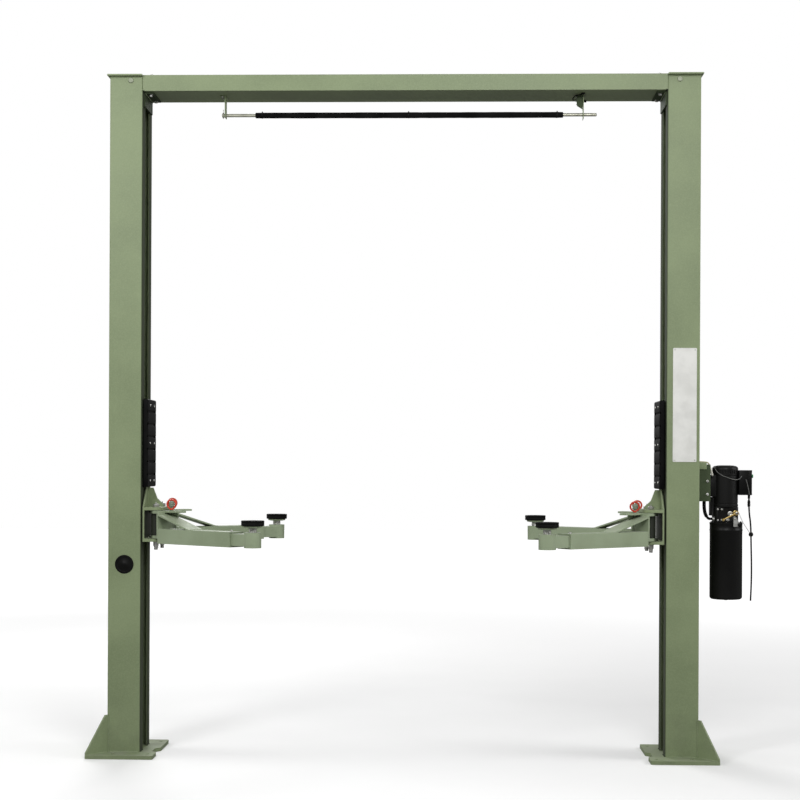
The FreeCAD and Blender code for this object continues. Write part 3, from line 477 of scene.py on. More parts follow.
zincLook = {"light": (0.62, 0.62, 0.60), "dark": (0.40, 0.40, 0.37), "bright": (0.8, 0.8, 0.78), "cloud": 30.0,
            "speckle": 600.0, "edge": 0.0008, "metallic": 0.9, "rough": 0.36, "bump": 0.25, "depth": 0.0002,
            "specular": 0.5}
paleLook = dict(zincLook, light=(0.34, 0.37, 0.27), dark=(0.24, 0.27, 0.19), bright=(0.44, 0.47, 0.37),
                metallic=0.15, rough=0.6)
brassLook = dict(zincLook, light=(0.62, 0.45, 0.17), dark=(0.42, 0.29, 0.10), bright=(0.8, 0.62, 0.3))
chromeLook = dict(zincLook, light=(0.72, 0.72, 0.73), dark=(0.6, 0.6, 0.6), rough=0.16, metallic=1.0, bump=0.05)
barLook = dict(zincLook, light=(0.46, 0.46, 0.38), dark=(0.32, 0.32, 0.26), bright=(0.60, 0.60, 0.52),
               metallic=0.6, rough=0.42)
zincPlate = metalMaterial("zincPlate", zincLook)
paleZinc = metalMaterial("paleZinc", paleLook)
brassMetal = metalMaterial("brassMetal", brassLook)
chromeRod = metalMaterial("chromeRod", chromeLook)
barZinc = metalMaterial("barZinc", barLook)


# Rubber, foam and moulded plastic
def mouldedMaterial(name, look):
    material, tree, inputs, mottle, wear = startMaterial(name, look, 60.0)
    dust = placeGroup(tree, dustGroup, Grime_Height=0.1)
    color = mixColor(tree, rampNode(tree, mottle["Cloud"], 0.3, 0.7), look["dark"], look["light"])
    color = mixColor(tree, product(tree, wear["Mask"], look["wear"]), color, look["worn"])
    color = mixColor(tree, product(tree, dust["Dust"], look["dust"]), color, look["dustTone"])
    tree.links.new(color, inputs["Base Color"])
    rough = mathNode(tree, "MULTIPLY_ADD", mottle["Cloud"], 0.2, look["rough"] - 0.1)
    tree.links.new(rough, inputs["Roughness"])
    return material


rubberLook = {"dark": (0.0022, 0.0022, 0.0022), "light": (0.0045, 0.0045, 0.0042), "worn": (0.022, 0.022, 0.021),
              "dustTone": (0.30, 0.30, 0.28), "wear": 0.5, "dust": 0.05, "cloud": 12.0, "speckle": 500.0,
              "edge": 0.0015, "rough": 0.58, "bump": 0.3, "depth": 0.0004, "specular": 0.07}
nylonLook = dict(rubberLook, dark=(0.58, 0.57, 0.50), light=(0.72, 0.71, 0.65), worn=(0.4, 0.4, 0.36), rough=0.5,
                 specular=0.5)
redLook = dict(rubberLook, dark=(0.46, 0.030, 0.010), light=(0.64, 0.050, 0.016), worn=(0.7, 0.22, 0.14),
               rough=0.35, bump=0.1, wear=0.3, specular=0.5)
mouldedLooks = {
    "guardRubber": rubberLook,
    "blackFoam": dict(rubberLook, dark=(0.004, 0.004, 0.004), light=(0.009, 0.009, 0.009), speckle=330.0,
                      bump=0.9, depth=0.0009, rough=0.9, wear=0.1, specular=0.05),
    "blackPlastic": dict(rubberLook, rough=0.42, bump=0.15, specular=0.14),
    "cableRubber": dict(rubberLook, rough=0.48, bump=0.15),
    "switchPlastic": dict(rubberLook, dark=(0.060, 0.078, 0.050), light=(0.090, 0.112, 0.074),
                          worn=(0.14, 0.16, 0.12), rough=0.4, bump=0.2, specular=0.4),
    "whiteNylon": nylonLook,
    "cardWhite": dict(nylonLook, dark=(0.66, 0.66, 0.63), light=(0.76, 0.76, 0.73), rough=0.45, bump=0.05),
    "sleeveTan": dict(nylonLook, dark=(0.36, 0.33, 0.19), light=(0.50, 0.46, 0.30)),
    "cableGrey": dict(rubberLook, dark=(0.10, 0.10, 0.10), light=(0.16, 0.16, 0.15), bump=0.1),
    "ringRed": redLook,
    "buttonGreen": dict(redLook, dark=(0.02, 0.20, 0.07), light=(0.03, 0.30, 0.10), worn=(0.2, 0.4, 0.25))}
moulded = {name: mouldedMaterial(name, look) for name, look in mouldedLooks.items()}
blackPlastic, cableRubber = moulded["blackPlastic"], moulded["cableRubber"]
whiteNylon = moulded["whiteNylon"]
print("materials ready")

nodeMaterials = {"frame_paint": frameSage, "arm_paint": armSage, "motor_paint": unitBlack,
                 "black_plastic": blackPlastic, "switch_plastic": moulded["switchPlastic"], "zinc": zincPlate,
                 "chrome_rod": chromeRod, "black_foam": moulded["blackFoam"],
                 "guard_rubber": moulded["guardRubber"], "hose_rubber": cableRubber, "cable_rubber": cableRubber,
                 "white_nylon": whiteNylon, "lock_paint": moulded["ringRed"]}
# the bracket and the beam seats get the sage paint in painted shade; the head bolts and the limit bar get their
# own tones
nodeTonesAndPaintedShade = {"power_unit_bracket": paintedShadeSage, "beam_seats": paintedShadeSage, "head_bolts": paleZinc,
             "limit_bar": barZinc}
for entry in frame["record"]["subparts"]:
    carried = frame["nodes"][entry["node"]]
    carried.data.materials.clear()
    carried.data.materials.append(nodeTonesAndPaintedShade.get(entry["node"], nodeMaterials[entry["material_slot"]]))
print("frame nodes painted")


# Studio: a pale floor, soft light and the camera at the photograph's place
studio = {"cameraPlace": (0.257, -8.794, 1.587), "yaw": 1.785, "roll": 0.256, "focalLength": 71.82,
          "horizonBelowMiddle": 65.7, "frameSize": 800, "floorHalf": 30.0, "floorTone": (0.93, 0.93, 0.93),
          "floorCloud": (0.88, 0.88, 0.88), "floorBounce": (0.26, 0.26, 0.25), "floorGlow": (0.80, 0.80, 0.80),
          "glowFrom": 1.5, "glowTo": 12.0, "worldStrength": 0.34}
panels = {"key": ((1.2, -5.4, 4.6), (0, 0, 1.6), 2.6, 184),  # place, target, size and power
          "fill": ((-3.1, -4.4, 4.2), (-2.0, 0, 2.9), 1.6, 110),
          "back": ((-2.0, 5.5, 5.0), (0, 0, 1.8), 3.0, 190),
          "right": ((6.2, -0.8, 3.6), (0, 0, 1.9), 3.0, 130),
          "left": ((-6.2, 0.6, 3.6), (0, 0, 1.9), 3.0, 90)}


def buildCamera():
    camera = bpy.data.objects.new("studioCamera", bpy.data.cameras.new("studioCamera"))
    bpy.context.scene.collection.objects.link(camera)
    camera.data.sensor_width = 36
    camera.data.lens = studio["focalLength"]
    camera.data.shift_y = studio["horizonBelowMiddle"] / studio["frameSize"]
    camera.data.clip_end = 100
    heading = Matrix.Rotation(math.radians(studio["yaw"]), 4, "Z") @ Matrix.Rotation(math.pi / 2, 4, "X")
    tilt = Matrix.Rotation(math.radians(studio["roll"]), 4, "Z")
    camera.matrix_world = Matrix.Translation(studio["cameraPlace"]) @ heading @ tilt
    bpy.context.scene.camera = camera


def buildFloor():
    startNew()
    bpy.ops.mesh.primitive_plane_add(size=2 * studio["floorHalf"], location=(0, 0, 0))
    floor = bpy.context.object
    floor.name = "studioFloor"
    material, tree, shader = newMaterial("paleFloor")
    tone = mixColor(tree, noiseNode(tree, 1.5), studio["floorTone"], studio["floorCloud"])
    seen = addNode(tree, "LightPath").outputs["Is Camera Ray"]  # it looks pale but throws little light back
    tree.links.new(mixColor(tree, seen, studio["floorBounce"], tone), shader.inputs["Base Color"])
    reach = addNode(tree, "VectorMath", operation="LENGTH")
    tree.links.new(objectPlace(tree), reach.inputs[0])
    far = rampNode(tree, reach.outputs["Value"], studio["glowFrom"], studio["glowTo"])
    glow = mixColor(tree, product(tree, seen, far), (0, 0, 0), studio["floorGlow"])
    tree.links.new(glow, shader.inputs["Emission Color"])  # far off it melts into the white backdrop
    shader.inputs["Emission Strength"].default_value = 1.0
    shader.inputs["Roughness"].default_value = 0.7
    floor.data.materials.append(material)


def buildLight():
    world = bpy.data.worlds.new("studioWorld")
    world.use_nodes = True
    backdrop = world.node_tree.nodes["Background"].inputs
    backdrop["Color"].default_value = (1.0, 1.0, 1.0, 1)
    tree, dim = world.node_tree, studio["worldStrength"]
    seen = addNode(tree, "LightPath").outputs["Is Camera Ray"]  # white to the camera, dimmer as a light
    strength = mathNode(tree, "MULTIPLY_ADD", seen, 1 - dim, dim)
    world.node_tree.links.new(strength, backdrop["Strength"])
    bpy.context.scene.world = world
    for name, (place, target, size, power) in panels.items():
        light = bpy.data.objects.new(name + "Light", bpy.data.lights.new(name + "Light", "AREA"))
        light.data.shape = "DISK"
        light.data.size = size
        light.data.energy = power
        light.location = place
        light.rotation_euler = (Vector(target) - Vector(place)).to_track_quat("-Z", "Y").to_euler()
        bpy.context.scene.collection.objects.link(light)
    bpy.context.scene.view_settings.view_transform = "Standard"


buildCamera()
buildFloor()
buildLight()
print("studio ready")


def standMatrix(place, direction, spin=0.0):
    turn = Vector(direction).to_track_quat("Z", "Y").to_matrix().to_4x4()
    return Matrix.Translation(place) @ turn @ Matrix.Rotation(math.radians(spin), 4, "Z")


def stand(piece, place, direction=up):  # tips a piece modelled upwards onto a place and a direction
    piece.data.transform(standMatrix(place, direction))
    return piece


# Turned shapes are drawn upwards as rings, each a height and a radius, in millimetres if no scale is given
def spunUp(name, rings, corners=40, place=None, direction=up, scale=mm):
    startNew()
    height, radius = rings[0]
    bpy.ops.mesh.primitive_circle_add(vertices=corners, radius=radius * scale, fill_type="NGON",
                                      location=(0, 0, height * scale))
    piece = settle(name)
    bpy.ops.object.mode_set(mode="EDIT")
    bpy.ops.mesh.select_mode(type="FACE")
    bpy.ops.mesh.select_all(action="SELECT")
    for nextHeight, nextRadius in rings[1:]:
        pushOut((0, 0, (nextHeight - height) * scale))
        share = nextRadius / radius
        bpy.ops.transform.resize(value=(share, share, 1), center_override=(0, 0, nextHeight * scale))
        height, radius = nextHeight, nextRadius
    bpy.ops.mesh.select_all(action="SELECT")
    bpy.ops.mesh.normals_make_consistent(inside=False)
    leaveEdit()
    smooth()
    return stand(piece, place, direction) if place else piece


# Fasteners, each modelled once at the origin with its seat at height 0 and a head of radius 1
bolt = {"washer": 0.2, "head": 0.75, "tip": 0.16}


def buildHexBolt():
    seat, top = bolt["washer"], bolt["washer"] + bolt["head"]
    washer = spunUp("boltWasher", [(0, 1.2), (0.05, 1.25), (0.16, 1.25), (seat, 1.2)], 20, scale=1)
    head = addHexagon("boltHead", (0, 0, seat), up, 1.0, bolt["head"])
    pick(head, "faces", toward(up))
    for margin, rise in ((0.1, 0.09), (0.28, -0.05)):  # a chamfer, then a shallow dish
        bpy.ops.mesh.inset(thickness=margin)
        bpy.ops.transform.translate(value=(0, 0, rise))
    leaveEdit()
    tip = spunUp("boltTip", [(top, 0.42), (top + 0.12, 0.40), (top + bolt["tip"], 0.3)], 14, scale=1)
    return joined([washer, head, tip], "hexBoltPattern")


def buildPanScrew():  # with a round recess
    return spunUp("panScrewPattern", [(0, 1.0), (0.2, 1.0), (0.42, 0.9), (0.58, 0.66), (0.64, 0.36), (0.5, 0.3),
                                      (0.34, 0.12)], 16, scale=1)


hexBolt = buildHexBolt()
panScrew = buildPanScrew()


def seatAll(places, direction, radius, spin=0):
    return [(place, direction, radius, spin) for place in places]


def grid(acrosses, alongs, heights):
    return [(across, along, height) for across in acrosses for along in alongs for height in heights]


def circleOf(around, axis, radius, height):  # places around an upright axis, at angles in degrees
    angles = [math.radians(angle) for angle in around]
    return [(axis + radius * math.cos(angle), radius * math.sin(angle), height) for angle in angles]


def fasten(pattern, name, seats, body="frame", material=zincPlate, slot="zinc"):
    copies = []
    for place, direction, radius, spin in seats:
        copies.append(copyOf(pattern, name, standMatrix(place, direction, spin) @ Matrix.Scale(radius, 4)))
    piece = joined(copies, name)
    smooth()
    return dress(piece, body, material, slot)


# Weld beads: one ripple is modelled and arrayed along each run
weld = {"pitch": 0.005, "radius": 0.0042, "waist": 0.0033}
ripple = spunUp("weldRipple", [(0, weld["waist"]), (weld["pitch"] * 0.25, weld["radius"]),
                               (weld["pitch"] * 0.7, weld["radius"]), (weld["pitch"], weld["waist"])],
                8, scale=1)
pick(ripple, "faces", lambda middle, normal: abs(normal.z) > 0.99)
bpy.ops.mesh.delete(type="FACE")
leaveEdit()


def weldRun(start, finish):
    start, finish = Vector(start), Vector(finish)
    bead = activate(copyOf(ripple, "weldRun", Matrix.Identity(4)))
    array = bead.modifiers.new("ripples", "ARRAY")
    array.use_relative_offset = False
    array.use_constant_offset = True
    array.constant_offset_displace = (0, 0, weld["pitch"])
    array.count = max(2, round((finish - start).length / weld["pitch"]))
    array.use_merge_vertices = True
    array.merge_threshold = 0.0001
    bpy.ops.object.modifier_apply(modifier=array.name)
    bpy.ops.object.mode_set(mode="EDIT")
    bpy.ops.mesh.select_all(action="SELECT")
    bpy.ops.mesh.fill_holes(sides=0)
    leaveEdit()
    return stand(bead, start, finish - start)


def weldPiece(name, runs, body, material=frameSage, slot="frame_paint"):
    piece = joined([weldRun(start, finish) for start, finish in runs], name)
    bpy.ops.object.shade_smooth()
    return dress(piece, body, material, slot)


# Cords and stiff lines are round curves led by the points of their route
def addLine(name, points, radius, steps, roundness):
    curve = bpy.data.curves.new(name, "CURVE")
    curve.dimensions = "3D"
    line = curve.splines.new("NURBS")
    line.points.add(len(points) - 1)
    for point, place in zip(line.points, points):
        point.co = (*place, 1)
    line.order_u = 3
    line.use_endpoint_u = True
    line.resolution_u = steps
    curve.bevel_depth = radius
    curve.bevel_resolution = roundness
    curve.use_fill_caps = True
    piece = bpy.data.objects.new(name, curve)
    bpy.context.scene.collection.objects.link(piece)
    return piece


def bentRod(name, points, radius, material, slot):  # a stiff wire, made a mesh
    activate(addLine(name, points, radius, 6, 3))
    bpy.ops.object.convert(target="MESH")
    bpy.ops.object.shade_smooth()
    return dress(bpy.context.object, "frame", material, slot)


# The hanging cable, with its moulded swelling, ball and strain relief
cable = {"diameter": 0.009, "length": 0.562,
         "route": [(1.895, 0, 1.417), (1.895, 0, 1.346), (1.906, 0, 1.275), (1.908, 0, 1.160), (1.911, 0, 1.045),
                   (1.910, 0, 0.940), (1.906, 0, 0.856)],
         "swelling": (1.895, 0, 1.389), "ball": (1.907, 0, 1.219), "ballRadius": 0.013, "seamHalf": 0.0012,
         "seamDepth": 0.0006, "sleeve": (1.895, 0, 1.4135), "collar": (1.895, 0, 1.4325)}


def buildCable():
    piece = addLine("powerCable", cable["route"], cable["diameter"] / 2, 12, 5)
    return dress(piece, "frame", cableRubber, "cable_rubber", "power_cable")


def buildCableFittings():
    swelling = spunUp("cableSwelling", [(-19, 5.2), (-17, 6.6), (-12, 7.8), (-4, 8), (-3, 7.3), (-1, 7.3),
                                        (0, 8), (8, 8), (14, 7), (19, 5)], 24, cable["swelling"])
    startNew()
    bpy.ops.mesh.primitive_uv_sphere_add(segments=32, ring_count=16, radius=cable["ballRadius"],
                                         location=cable["ball"])
    ball = settle("cableBall")
    bpy.ops.object.shade_smooth()
    pick(ball, "faces", lambda middle, normal: abs(middle.z - cable["ball"][2]) < cable["seamHalf"])
    bpy.ops.mesh.extrude_region_shrink_fatten(TRANSFORM_OT_shrink_fatten={"value": -cable["seamDepth"]})
    leaveEdit()
    pieces = dress(joined([swelling, ball], "cableSwellingAndBall"), "frame", blackPlastic, "black_plastic",
                   "cable_bulge_and_ball")
    collar = rounded(addHexagon("reliefCollar", cable["collar"], up, 0.0078, 0.0075), 0.0006)
    sleeve = spunUp("reliefSleeve", [(0, 5), (0, 5.6), (5.5, 6.2), (6.5, 6.8), (9.5, 6.8), (10.5, 6.3),
                                     (12.5, 6.3), (13.5, 6.9), (19, 7)], 24, cable["sleeve"])
    dress(joined([collar, sleeve], "strainRelief"), "frame", blackPlastic, "black_plastic", "cable_gland")
    return pieces


powerCable = buildCable()
swellingAndBall = buildCableFittings()
print("cable modelled")


# Limit bar: a foam sleeve, a little uneven along its length, with three ties
foam = {"left": -0.824, "right": 0.871, "height": 3.519, "radius": 0.0160, "unevenness": 0.0005, "step": 0.035,
        "ties": (-0.789, 0.02, 0.836)}
bar = {"height": 3.519, "ends": {-1.007: leftward, 1.051: rightward}, "pin": (-1.003, 0, 3.5405)}


def buildFoamSleeve():
    whole, radius = foam["right"] - foam["left"], foam["radius"]
    count = round(whole / foam["step"])
    rings = [(0, radius * 0.80), (0.002, radius * 0.95)]
    for k in range(1, count):
        rings.append((k * whole / count, radius + random.uniform(-1, 1) * foam["unevenness"]))
    rings += [(whole - 0.002, radius * 0.95), (whole, radius * 0.80)]
    sleeve = spunUp("limitBarFoam", rings, 28, (foam["left"], 0, foam["height"]), rightward, 1)
    smooth(50)
    dress(sleeve, "limit_bar", moulded["blackFoam"], "black_foam", "limit_bar_sleeve")
    ties = []
    for across in foam["ties"]:
        ties.append(spunUp("foamTie", [(0, 16), (0, 17.2), (4, 17.2), (4, 16)], 28, (across, 0, foam["height"]),
                           rightward))
        ties.append(rounded(addBlock("tieLock", (across - 0.001, -0.004, foam["height"] + 0.0165),
                                     (across + 0.005, 0.004, foam["height"] + 0.0215)), 0.0008))
    dress(joined(ties, "foamTies"), "limit_bar", blackPlastic, "black_plastic")


def buildSplitPin(place, direction, radius, length):  # a ring and two legs spread a little at the tip
    parts = [addRing("pinEye", (0, 0, radius * 3.2), rightward, radius * 2.4, radius * 0.8)]
    for lean in (-1, 1):
        leg = spunUp("pinLeg", [(-length, radius * 0.7), (-length * 0.5, radius * 0.8), (0, radius * 0.8),
                                (radius * 1.5, radius * 0.7)], 10, scale=1)
        leg.data.transform(Matrix.Translation((0, lean * radius * 0.6, 0)))
        shift(leg, "faces", toward(down), (0, lean * radius * 2.2, 0))
        parts.append(leg)
    pin = joined(parts, "splitPin")
    bpy.ops.object.shade_smooth()
    return stand(pin, place, direction)


def buildBarHardware():
    dress(buildSplitPin(bar["pin"], up, 0.0018, 0.040), "limit_bar", zincPlate, "zinc")
    tips = [spunUp("barEnd", [(0, 9), (2, 8.4), (3.5, 6)], 24, (across, 0, bar["height"]), direction)
            for across, direction in bar["ends"].items()]
    dress(joined(tips, "barEnds"), "limit_bar", barZinc, "zinc")


buildFoamSleeve()
buildBarHardware()
print("limit bar modelled")


# Door guard: moulded rubber with deep grooves, wrapped around its backing plate and screwed to it
guard = {"face": 1.391, "backing": 1.411, "back": 1.419, "half": 0.115, "wrap": 0.005, "low": 1.465,
         "high": 1.947, "ribs": 7, "groove": 0.012, "depth": 0.008, "lean": 0.009, "screwAcross": 0.06,
         "screwRadius": 0.0065, "screwedRibs": (0, 3, 6)}
guardPitch = (guard["high"] - guard["low"]) / guard["ribs"]


def buildDoorGuard():
    block = addBlock("doorGuard", (guard["face"], -guard["half"], guard["low"]),
                     (guard["backing"], guard["half"], guard["high"]))
    grooves = [guard["low"] + k * guardPitch for k in range(1, guard["ribs"])]
    flank = guard["half"] - guard["wrap"]
    cutAcross(block, up, [groove + share * guard["groove"] / 2 for groove in grooves for share in (-1, 1)])
    cutAcross(block, (0, 1, 0), (-flank, flank))

    def inGroove(middle, normal):
        return normal.x < -0.9 and any(abs(middle.z - groove) < guard["groove"] / 2 for groove in grooves)
    pick(block, "faces", inGroove)
    pushOut((guard["depth"], 0, 0))
    leaveEdit()
    pick(block, "faces", lambda middle, normal: normal.x > 0.9 and abs(middle.y) > flank)
    pushOut((guard["back"] - guard["backing"], 0, 0))
    leaveEdit()
    for level in (guard["low"], guard["high"]):  # the lowest and highest ribs lean back at their outer edge
        trimEdges(block, lambda first, second: max(abs(first.z - level), abs(second.z - level)) < 1e-4
                  and max(first.x, second.x) < guard["face"] + 1e-4, guard["lean"], 3)
    return rounded(block, 0.0018, 2, 40)


def buildGuards():
    right = buildDoorGuard()
    left = copyOf(right, "left_doorGuard", Matrix.Scale(-1, 4, rightward))
    right.name = "right_doorGuard"
    for word, piece in (("right", right), ("left", left)):
        dress(piece, word + "_carriage", moulded["guardRubber"], "guard_rubber", word + "_door_guard")
    for word, side in sides.items():
        seats = []
        for k in guard["screwedRibs"]:
            places = grid([side * guard["face"]], [-guard["screwAcross"], guard["screwAcross"]],
                          [guard["low"] + (k + 0.5) * guardPitch])
            seats += seatAll(places, (-side, 0, 0), guard["screwRadius"], 20 * k)
        fasten(panScrew, word + "_guardScrews", seats, word + "_carriage")


buildGuards()
print("door guards modelled")


# Arms: shapes are modelled in the arm's own frame, with its pin at the origin and its length along X
arm = {"angle": 39, "pinAcross": 1.350, "pinAlong": 0.095, "headTop": 1.336, "headBottom": 1.184,
       "tubeStart": 0.070, "tubeHigh": 1.238, "half": 0.050, "endWeld": 0.330, "stopBolt": 0.600,
       "padReach": 0.760, "padTop": 1.300, "threads": 21, "lock": {-1: (0.100, 0.024), 1: (0.082, 0.032)},
       "ringRise": 0.0356, "ringRadius": 0.024, "ringWire": 0.005}
armPin = {"nut": (0, 0, 1.1420), "nutRadius": 0.0150, "nutLength": 0.0208, "nutStep": (0.0028, 0.005),
          "split": (0, 0.0125, 1.1335), "splitRadius": 0.0016, "splitLength": 0.030, "turn": 25}


def armMatrix(side, end):  # the right arms are mirror images, so that the second axis points to the lock's side
    heading = end * arm["angle"] if side < 0 else 180 - end * arm["angle"]
    place = Matrix.Translation((side * arm["pinAcross"], end * arm["pinAlong"], 0))
    return place @ Matrix.Rotation(math.radians(heading), 4, "Z") @ Matrix.Scale(-side, 4, (0, 1, 0))


def buildLocks():  # the spring lock's shaft with its grooved knob, and a wire ring with its collar on the shaft
    shaft = spunUp("lockShaft", [(-16, 6), (-14, 8), (0.5, 8), (4, 8), (21, 8), (22, 12.5), (24, 13.8),
                                 (29, 13.8), (30, 12.6), (33, 12.6), (34, 13.8), (43, 13.8), (47, 12),
                                 (50, 7)], 28, (0, 0, arm["headTop"]))
    middle = (0, 0, arm["headTop"] + arm["ringRise"])
    wire = addRing("lockRing", middle, (0, 1, 0), arm["ringRadius"], arm["ringWire"])
    collar = spunUp("lockCollar", [(-31.5, 8.5), (-30.5, 10.2), (-22.5, 10.2), (-21.5, 8.5)], 28, middle)
    ring = joined([wire, collar], "lockRing")
    for name, side, end in eachArm():
        matrix = armMatrix(side, end) @ Matrix.Translation((*arm["lock"][end], 0))
        body = name + "_arm_lock"
        dress(copyOf(shaft, name + "_lockShaft", matrix), body, lockSage, "lock_paint", body)
        pull = copyOf(ring, name + "_lockRing", Matrix.Translation(matrix.to_translation()))
        dress(pull, body, moulded["ringRed"], "lock_paint", body)
    dropPieces(shaft, ring)


def buildPads():
    place = (0, 0, arm["padTop"])
    rubber = spunUp("padRubber", [(-28, 50), (-28, 57), (-26, 59.5), (-14, 60), (-12, 59), (-10, 60), (-2, 60),
                                  (0, 58), (0, 47), (-3, 45.5), (-3, 42.5), (0, 41), (0, 29), (-3, 27.5),
                                  (-3, 24.5), (0, 23), (0, 11), (-3, 9.5)], 56, place)
    cup = spunUp("padCup", [(-40, 24), (-38, 40), (-36, 48.5), (-34, 50), (-29, 50), (-28, 49)], 48, place)
    rings = [(-130, 19.5), (-128, 21.5)]
    for height in range(-126, 4 * arm["threads"] - 126, 4):  # a coarse thread
        rings += [(height, 22), (height + 1.2, 22), (height + 2, 20.4), (height + 3.2, 20.4)]
    screw = spunUp("padScrew", rings + [(-39, 20)], 32, place)
    for name, side, end in eachArm():
        matrix = armMatrix(side, end) @ Matrix.Translation((arm["padReach"], 0, 0))
        for pattern, word, material, slot in ((rubber, "_padRubber", moulded["guardRubber"], "guard_rubber"),
                                              (cup, "_padCup", armSage, "arm_paint"),
                                              (screw, "_padScrew", zincPlate, "zinc")):
            dress(copyOf(pattern, name + word, matrix), name + "_arm_extension", material, slot, name + "_pad")
    dropPieces(rubber, cup, screw)


def buildPins():  # each arm's pin with its grease nipple, castle nut, washer and split pin
    shaft = spunUp("armPin", [(1121, 8.5), (1123, 10), (1166, 10), (1166, 16), (1354, 16), (1354, 17.2),
                              (1355.5, 18), (1369, 18), (1372, 15), (1372, 5.5), (1374.5, 5.5), (1375, 3),
                              (1379, 3), (1380, 4), (1381.5, 3)], 36)
    washer = spunUp("pinWasher", [(1162.8, 17.5), (1163.2, 18), (1165.6, 18), (1166, 17.5)], 32)
    nut = addHexagon("pinNut", armPin["nut"], up, armPin["nutRadius"], armPin["nutLength"])
    press(nut, down, armPin["nutStep"])
    splitPin = buildSplitPin(armPin["split"], (0, 1, 0), armPin["splitRadius"], armPin["splitLength"])
    pattern = joined([shaft, washer, rounded(nut, 0.0006), splitPin], "armPin")
    for word, side in sides.items():
        pins = []
        for end in ends.values():
            place = Matrix.Translation((side * arm["pinAcross"], end * arm["pinAlong"], 0))
            turn = Matrix.Rotation(math.radians(armPin["turn"] * end), 4, "Z")
            pins.append(copyOf(pattern, "armPin", place @ turn))
        piece = joined(pins, word + "_armPins")
        smooth()
        dress(piece, word + "_carriage", zincPlate, "zinc", word + "_arm_pins")
    dropPieces(pattern)


def buildArmTrim():  # welds around each arm's head and a bare stop screw on top of its tube
    start, half, low, high = arm["tubeStart"], arm["half"], arm["headBottom"], arm["tubeHigh"]
    under, far, edge = arm["headTop"] - 0.018, arm["endWeld"], arm["half"] - 0.004
    lines = [((start, -half, low), (start, -half, high)), ((start, half, low), (start, half, high)),
             ((start, -half, under), (start, 0, under)), ((far, -edge, high), (far, edge, high))]
    for name, side, end in eachArm():
        matrix = armMatrix(side, end)
        runs = [(matrix @ Vector(first), matrix @ Vector(last)) for first, last in lines]
        weldPiece(name + "_armWelds", runs, name + "_arm", armSage, "arm_paint")
        seats = [(matrix @ Vector((arm["stopBolt"], 0, high)), up, 0.0075, 15)]
        fasten(hexBolt, name + "_stopBolt", seats, name + "_arm")


buildLocks()
buildPads()
buildPins()
buildArmTrim()
print("arm fittings modelled")


# Frame: welds, bolts, the plug of the access hole and the blank card on the right column
post = {"inner": 1.425, "outer": 1.605, "half": 0.140, "bend": 0.009, "plateTop": 0.020, "capLow": 3.703,
        "slotHalf": 0.060, "shelf": 1.417, "shelfHalf": 0.108, "shelfDrop": 0.008}
gusset = {"across": 0.098, "along": 0.120, "toe": 0.012, "half": 0.005, "height": 0.190}
yoke = {"web": 1.407, "half": 0.132, "levels": (1.338, 1.182),
        "ribs": ((1.335, 0.006, 1.354), (1.405, 0.006, 1.354)),
        "shoulder": ((1.411, 0.128, 1.356), (1.411, 0.058, 1.452))}


def buildFrameWelds():
    runs = []
    for side in sides.values():
        inner, outer, half, bend = side * post["inner"], side * post["outer"], post["half"], post["bend"]
        for end in ends.values():
            for height in (post["plateTop"], post["capLow"]):
                runs.append(((inner + side * bend, end * half, height),
                             (outer - side * bend, end * half, height)))
            runs.append(((inner, end * post["slotHalf"], post["plateTop"]),
                         (inner, end * (half - bend), post["plateTop"])))
            corner = Vector((outer - side * 0.003, end * (half - 0.002), post["plateTop"]))
            heading = Vector((side * gusset["across"], end * gusset["along"], 0))
            reach = heading.length - gusset["toe"]
            heading.normalize()
            faces = [corner + Vector((-heading.y, heading.x, 0)) * share
                     for share in (-gusset["half"], gusset["half"])]
            runs += [(face + heading * 0.010, face + heading * reach) for face in faces]
            for face in faces:
                runs.append((face + heading * 0.001, face + heading * 0.001 + Vector((0, 0, gusset["height"]))))
        for height in (post["plateTop"], post["capLow"]):
            runs.append(((outer, bend - half, height), (outer, half - bend, height)))
        shelf, low = side * post["shelf"], beamBottom - post["shelfDrop"]
        runs.append(((shelf, -post["shelfHalf"], low), (shelf, post["shelfHalf"], low)))
    weldPiece("frameWelds", runs, "frame")


def buildYokeWelds():
    for word, side in sides.items():
        web = side * yoke["web"]
        runs = [((web, -yoke["half"], height), (web, yoke["half"], height)) for height in yoke["levels"]]
        for end in ends.values():
            for run in (yoke["ribs"], yoke["shoulder"]):
                runs.append([(side * across, end * along, height) for across, along, height in run])
        weldPiece(word + "_yokeWelds", runs, word + "_carriage")


frameBolts = {"joint": ((1.388, 1.451), 0.072), "seat": (1.392, 0.075), "hanger": (-1.006, 0.019),
              "bracket": (1.655, 0.090, (1.510, 1.440)), "large": 0.0095, "hangerRadius": 0.0055,
              "bracketRadius": 0.0060}


def buildFrameBolts():
    seats = []
    acrosses, along = frameBolts["joint"]
    for across in acrosses:
        places = grid([-across, across], [-along, along], [jointTop])
        for place in places:
            seats.append((place, up, frameBolts["large"], 11 * across))
    across, along = frameBolts["seat"]
    places = grid([-across, across], [-along, along], [beamBottom - post["shelfDrop"]])
    seats += seatAll(places, down, frameBolts["large"], 20)
    across, along = frameBolts["hanger"]
    places = grid([across], [-along, along], [beamBottom - 0.004])
    seats += seatAll(places, down, frameBolts["hangerRadius"], 10)
    across, along, heights = frameBolts["bracket"]
    for end in ends.values():
        seats += seatAll(grid([across], [end * along], heights), (0, end, 0), frameBolts["bracketRadius"], 5)
    fasten(hexBolt, "frameBolts", seats)


def buildAccessPlug():
    plug = spunUp("accessPlug", [(0, 46.5), (4.5, 46.8), (5, 50), (6.2, 51), (7.2, 51), (8, 50), (8, 40),
                                 (6.2, 38.5), (6.2, 12), (7.2, 10.5), (7.2, 2)], 56, (-1.515, -0.135, 1.043),
                  frontward)
    dress(plug, "frame", blackPlastic, "black_plastic", "access_plug")


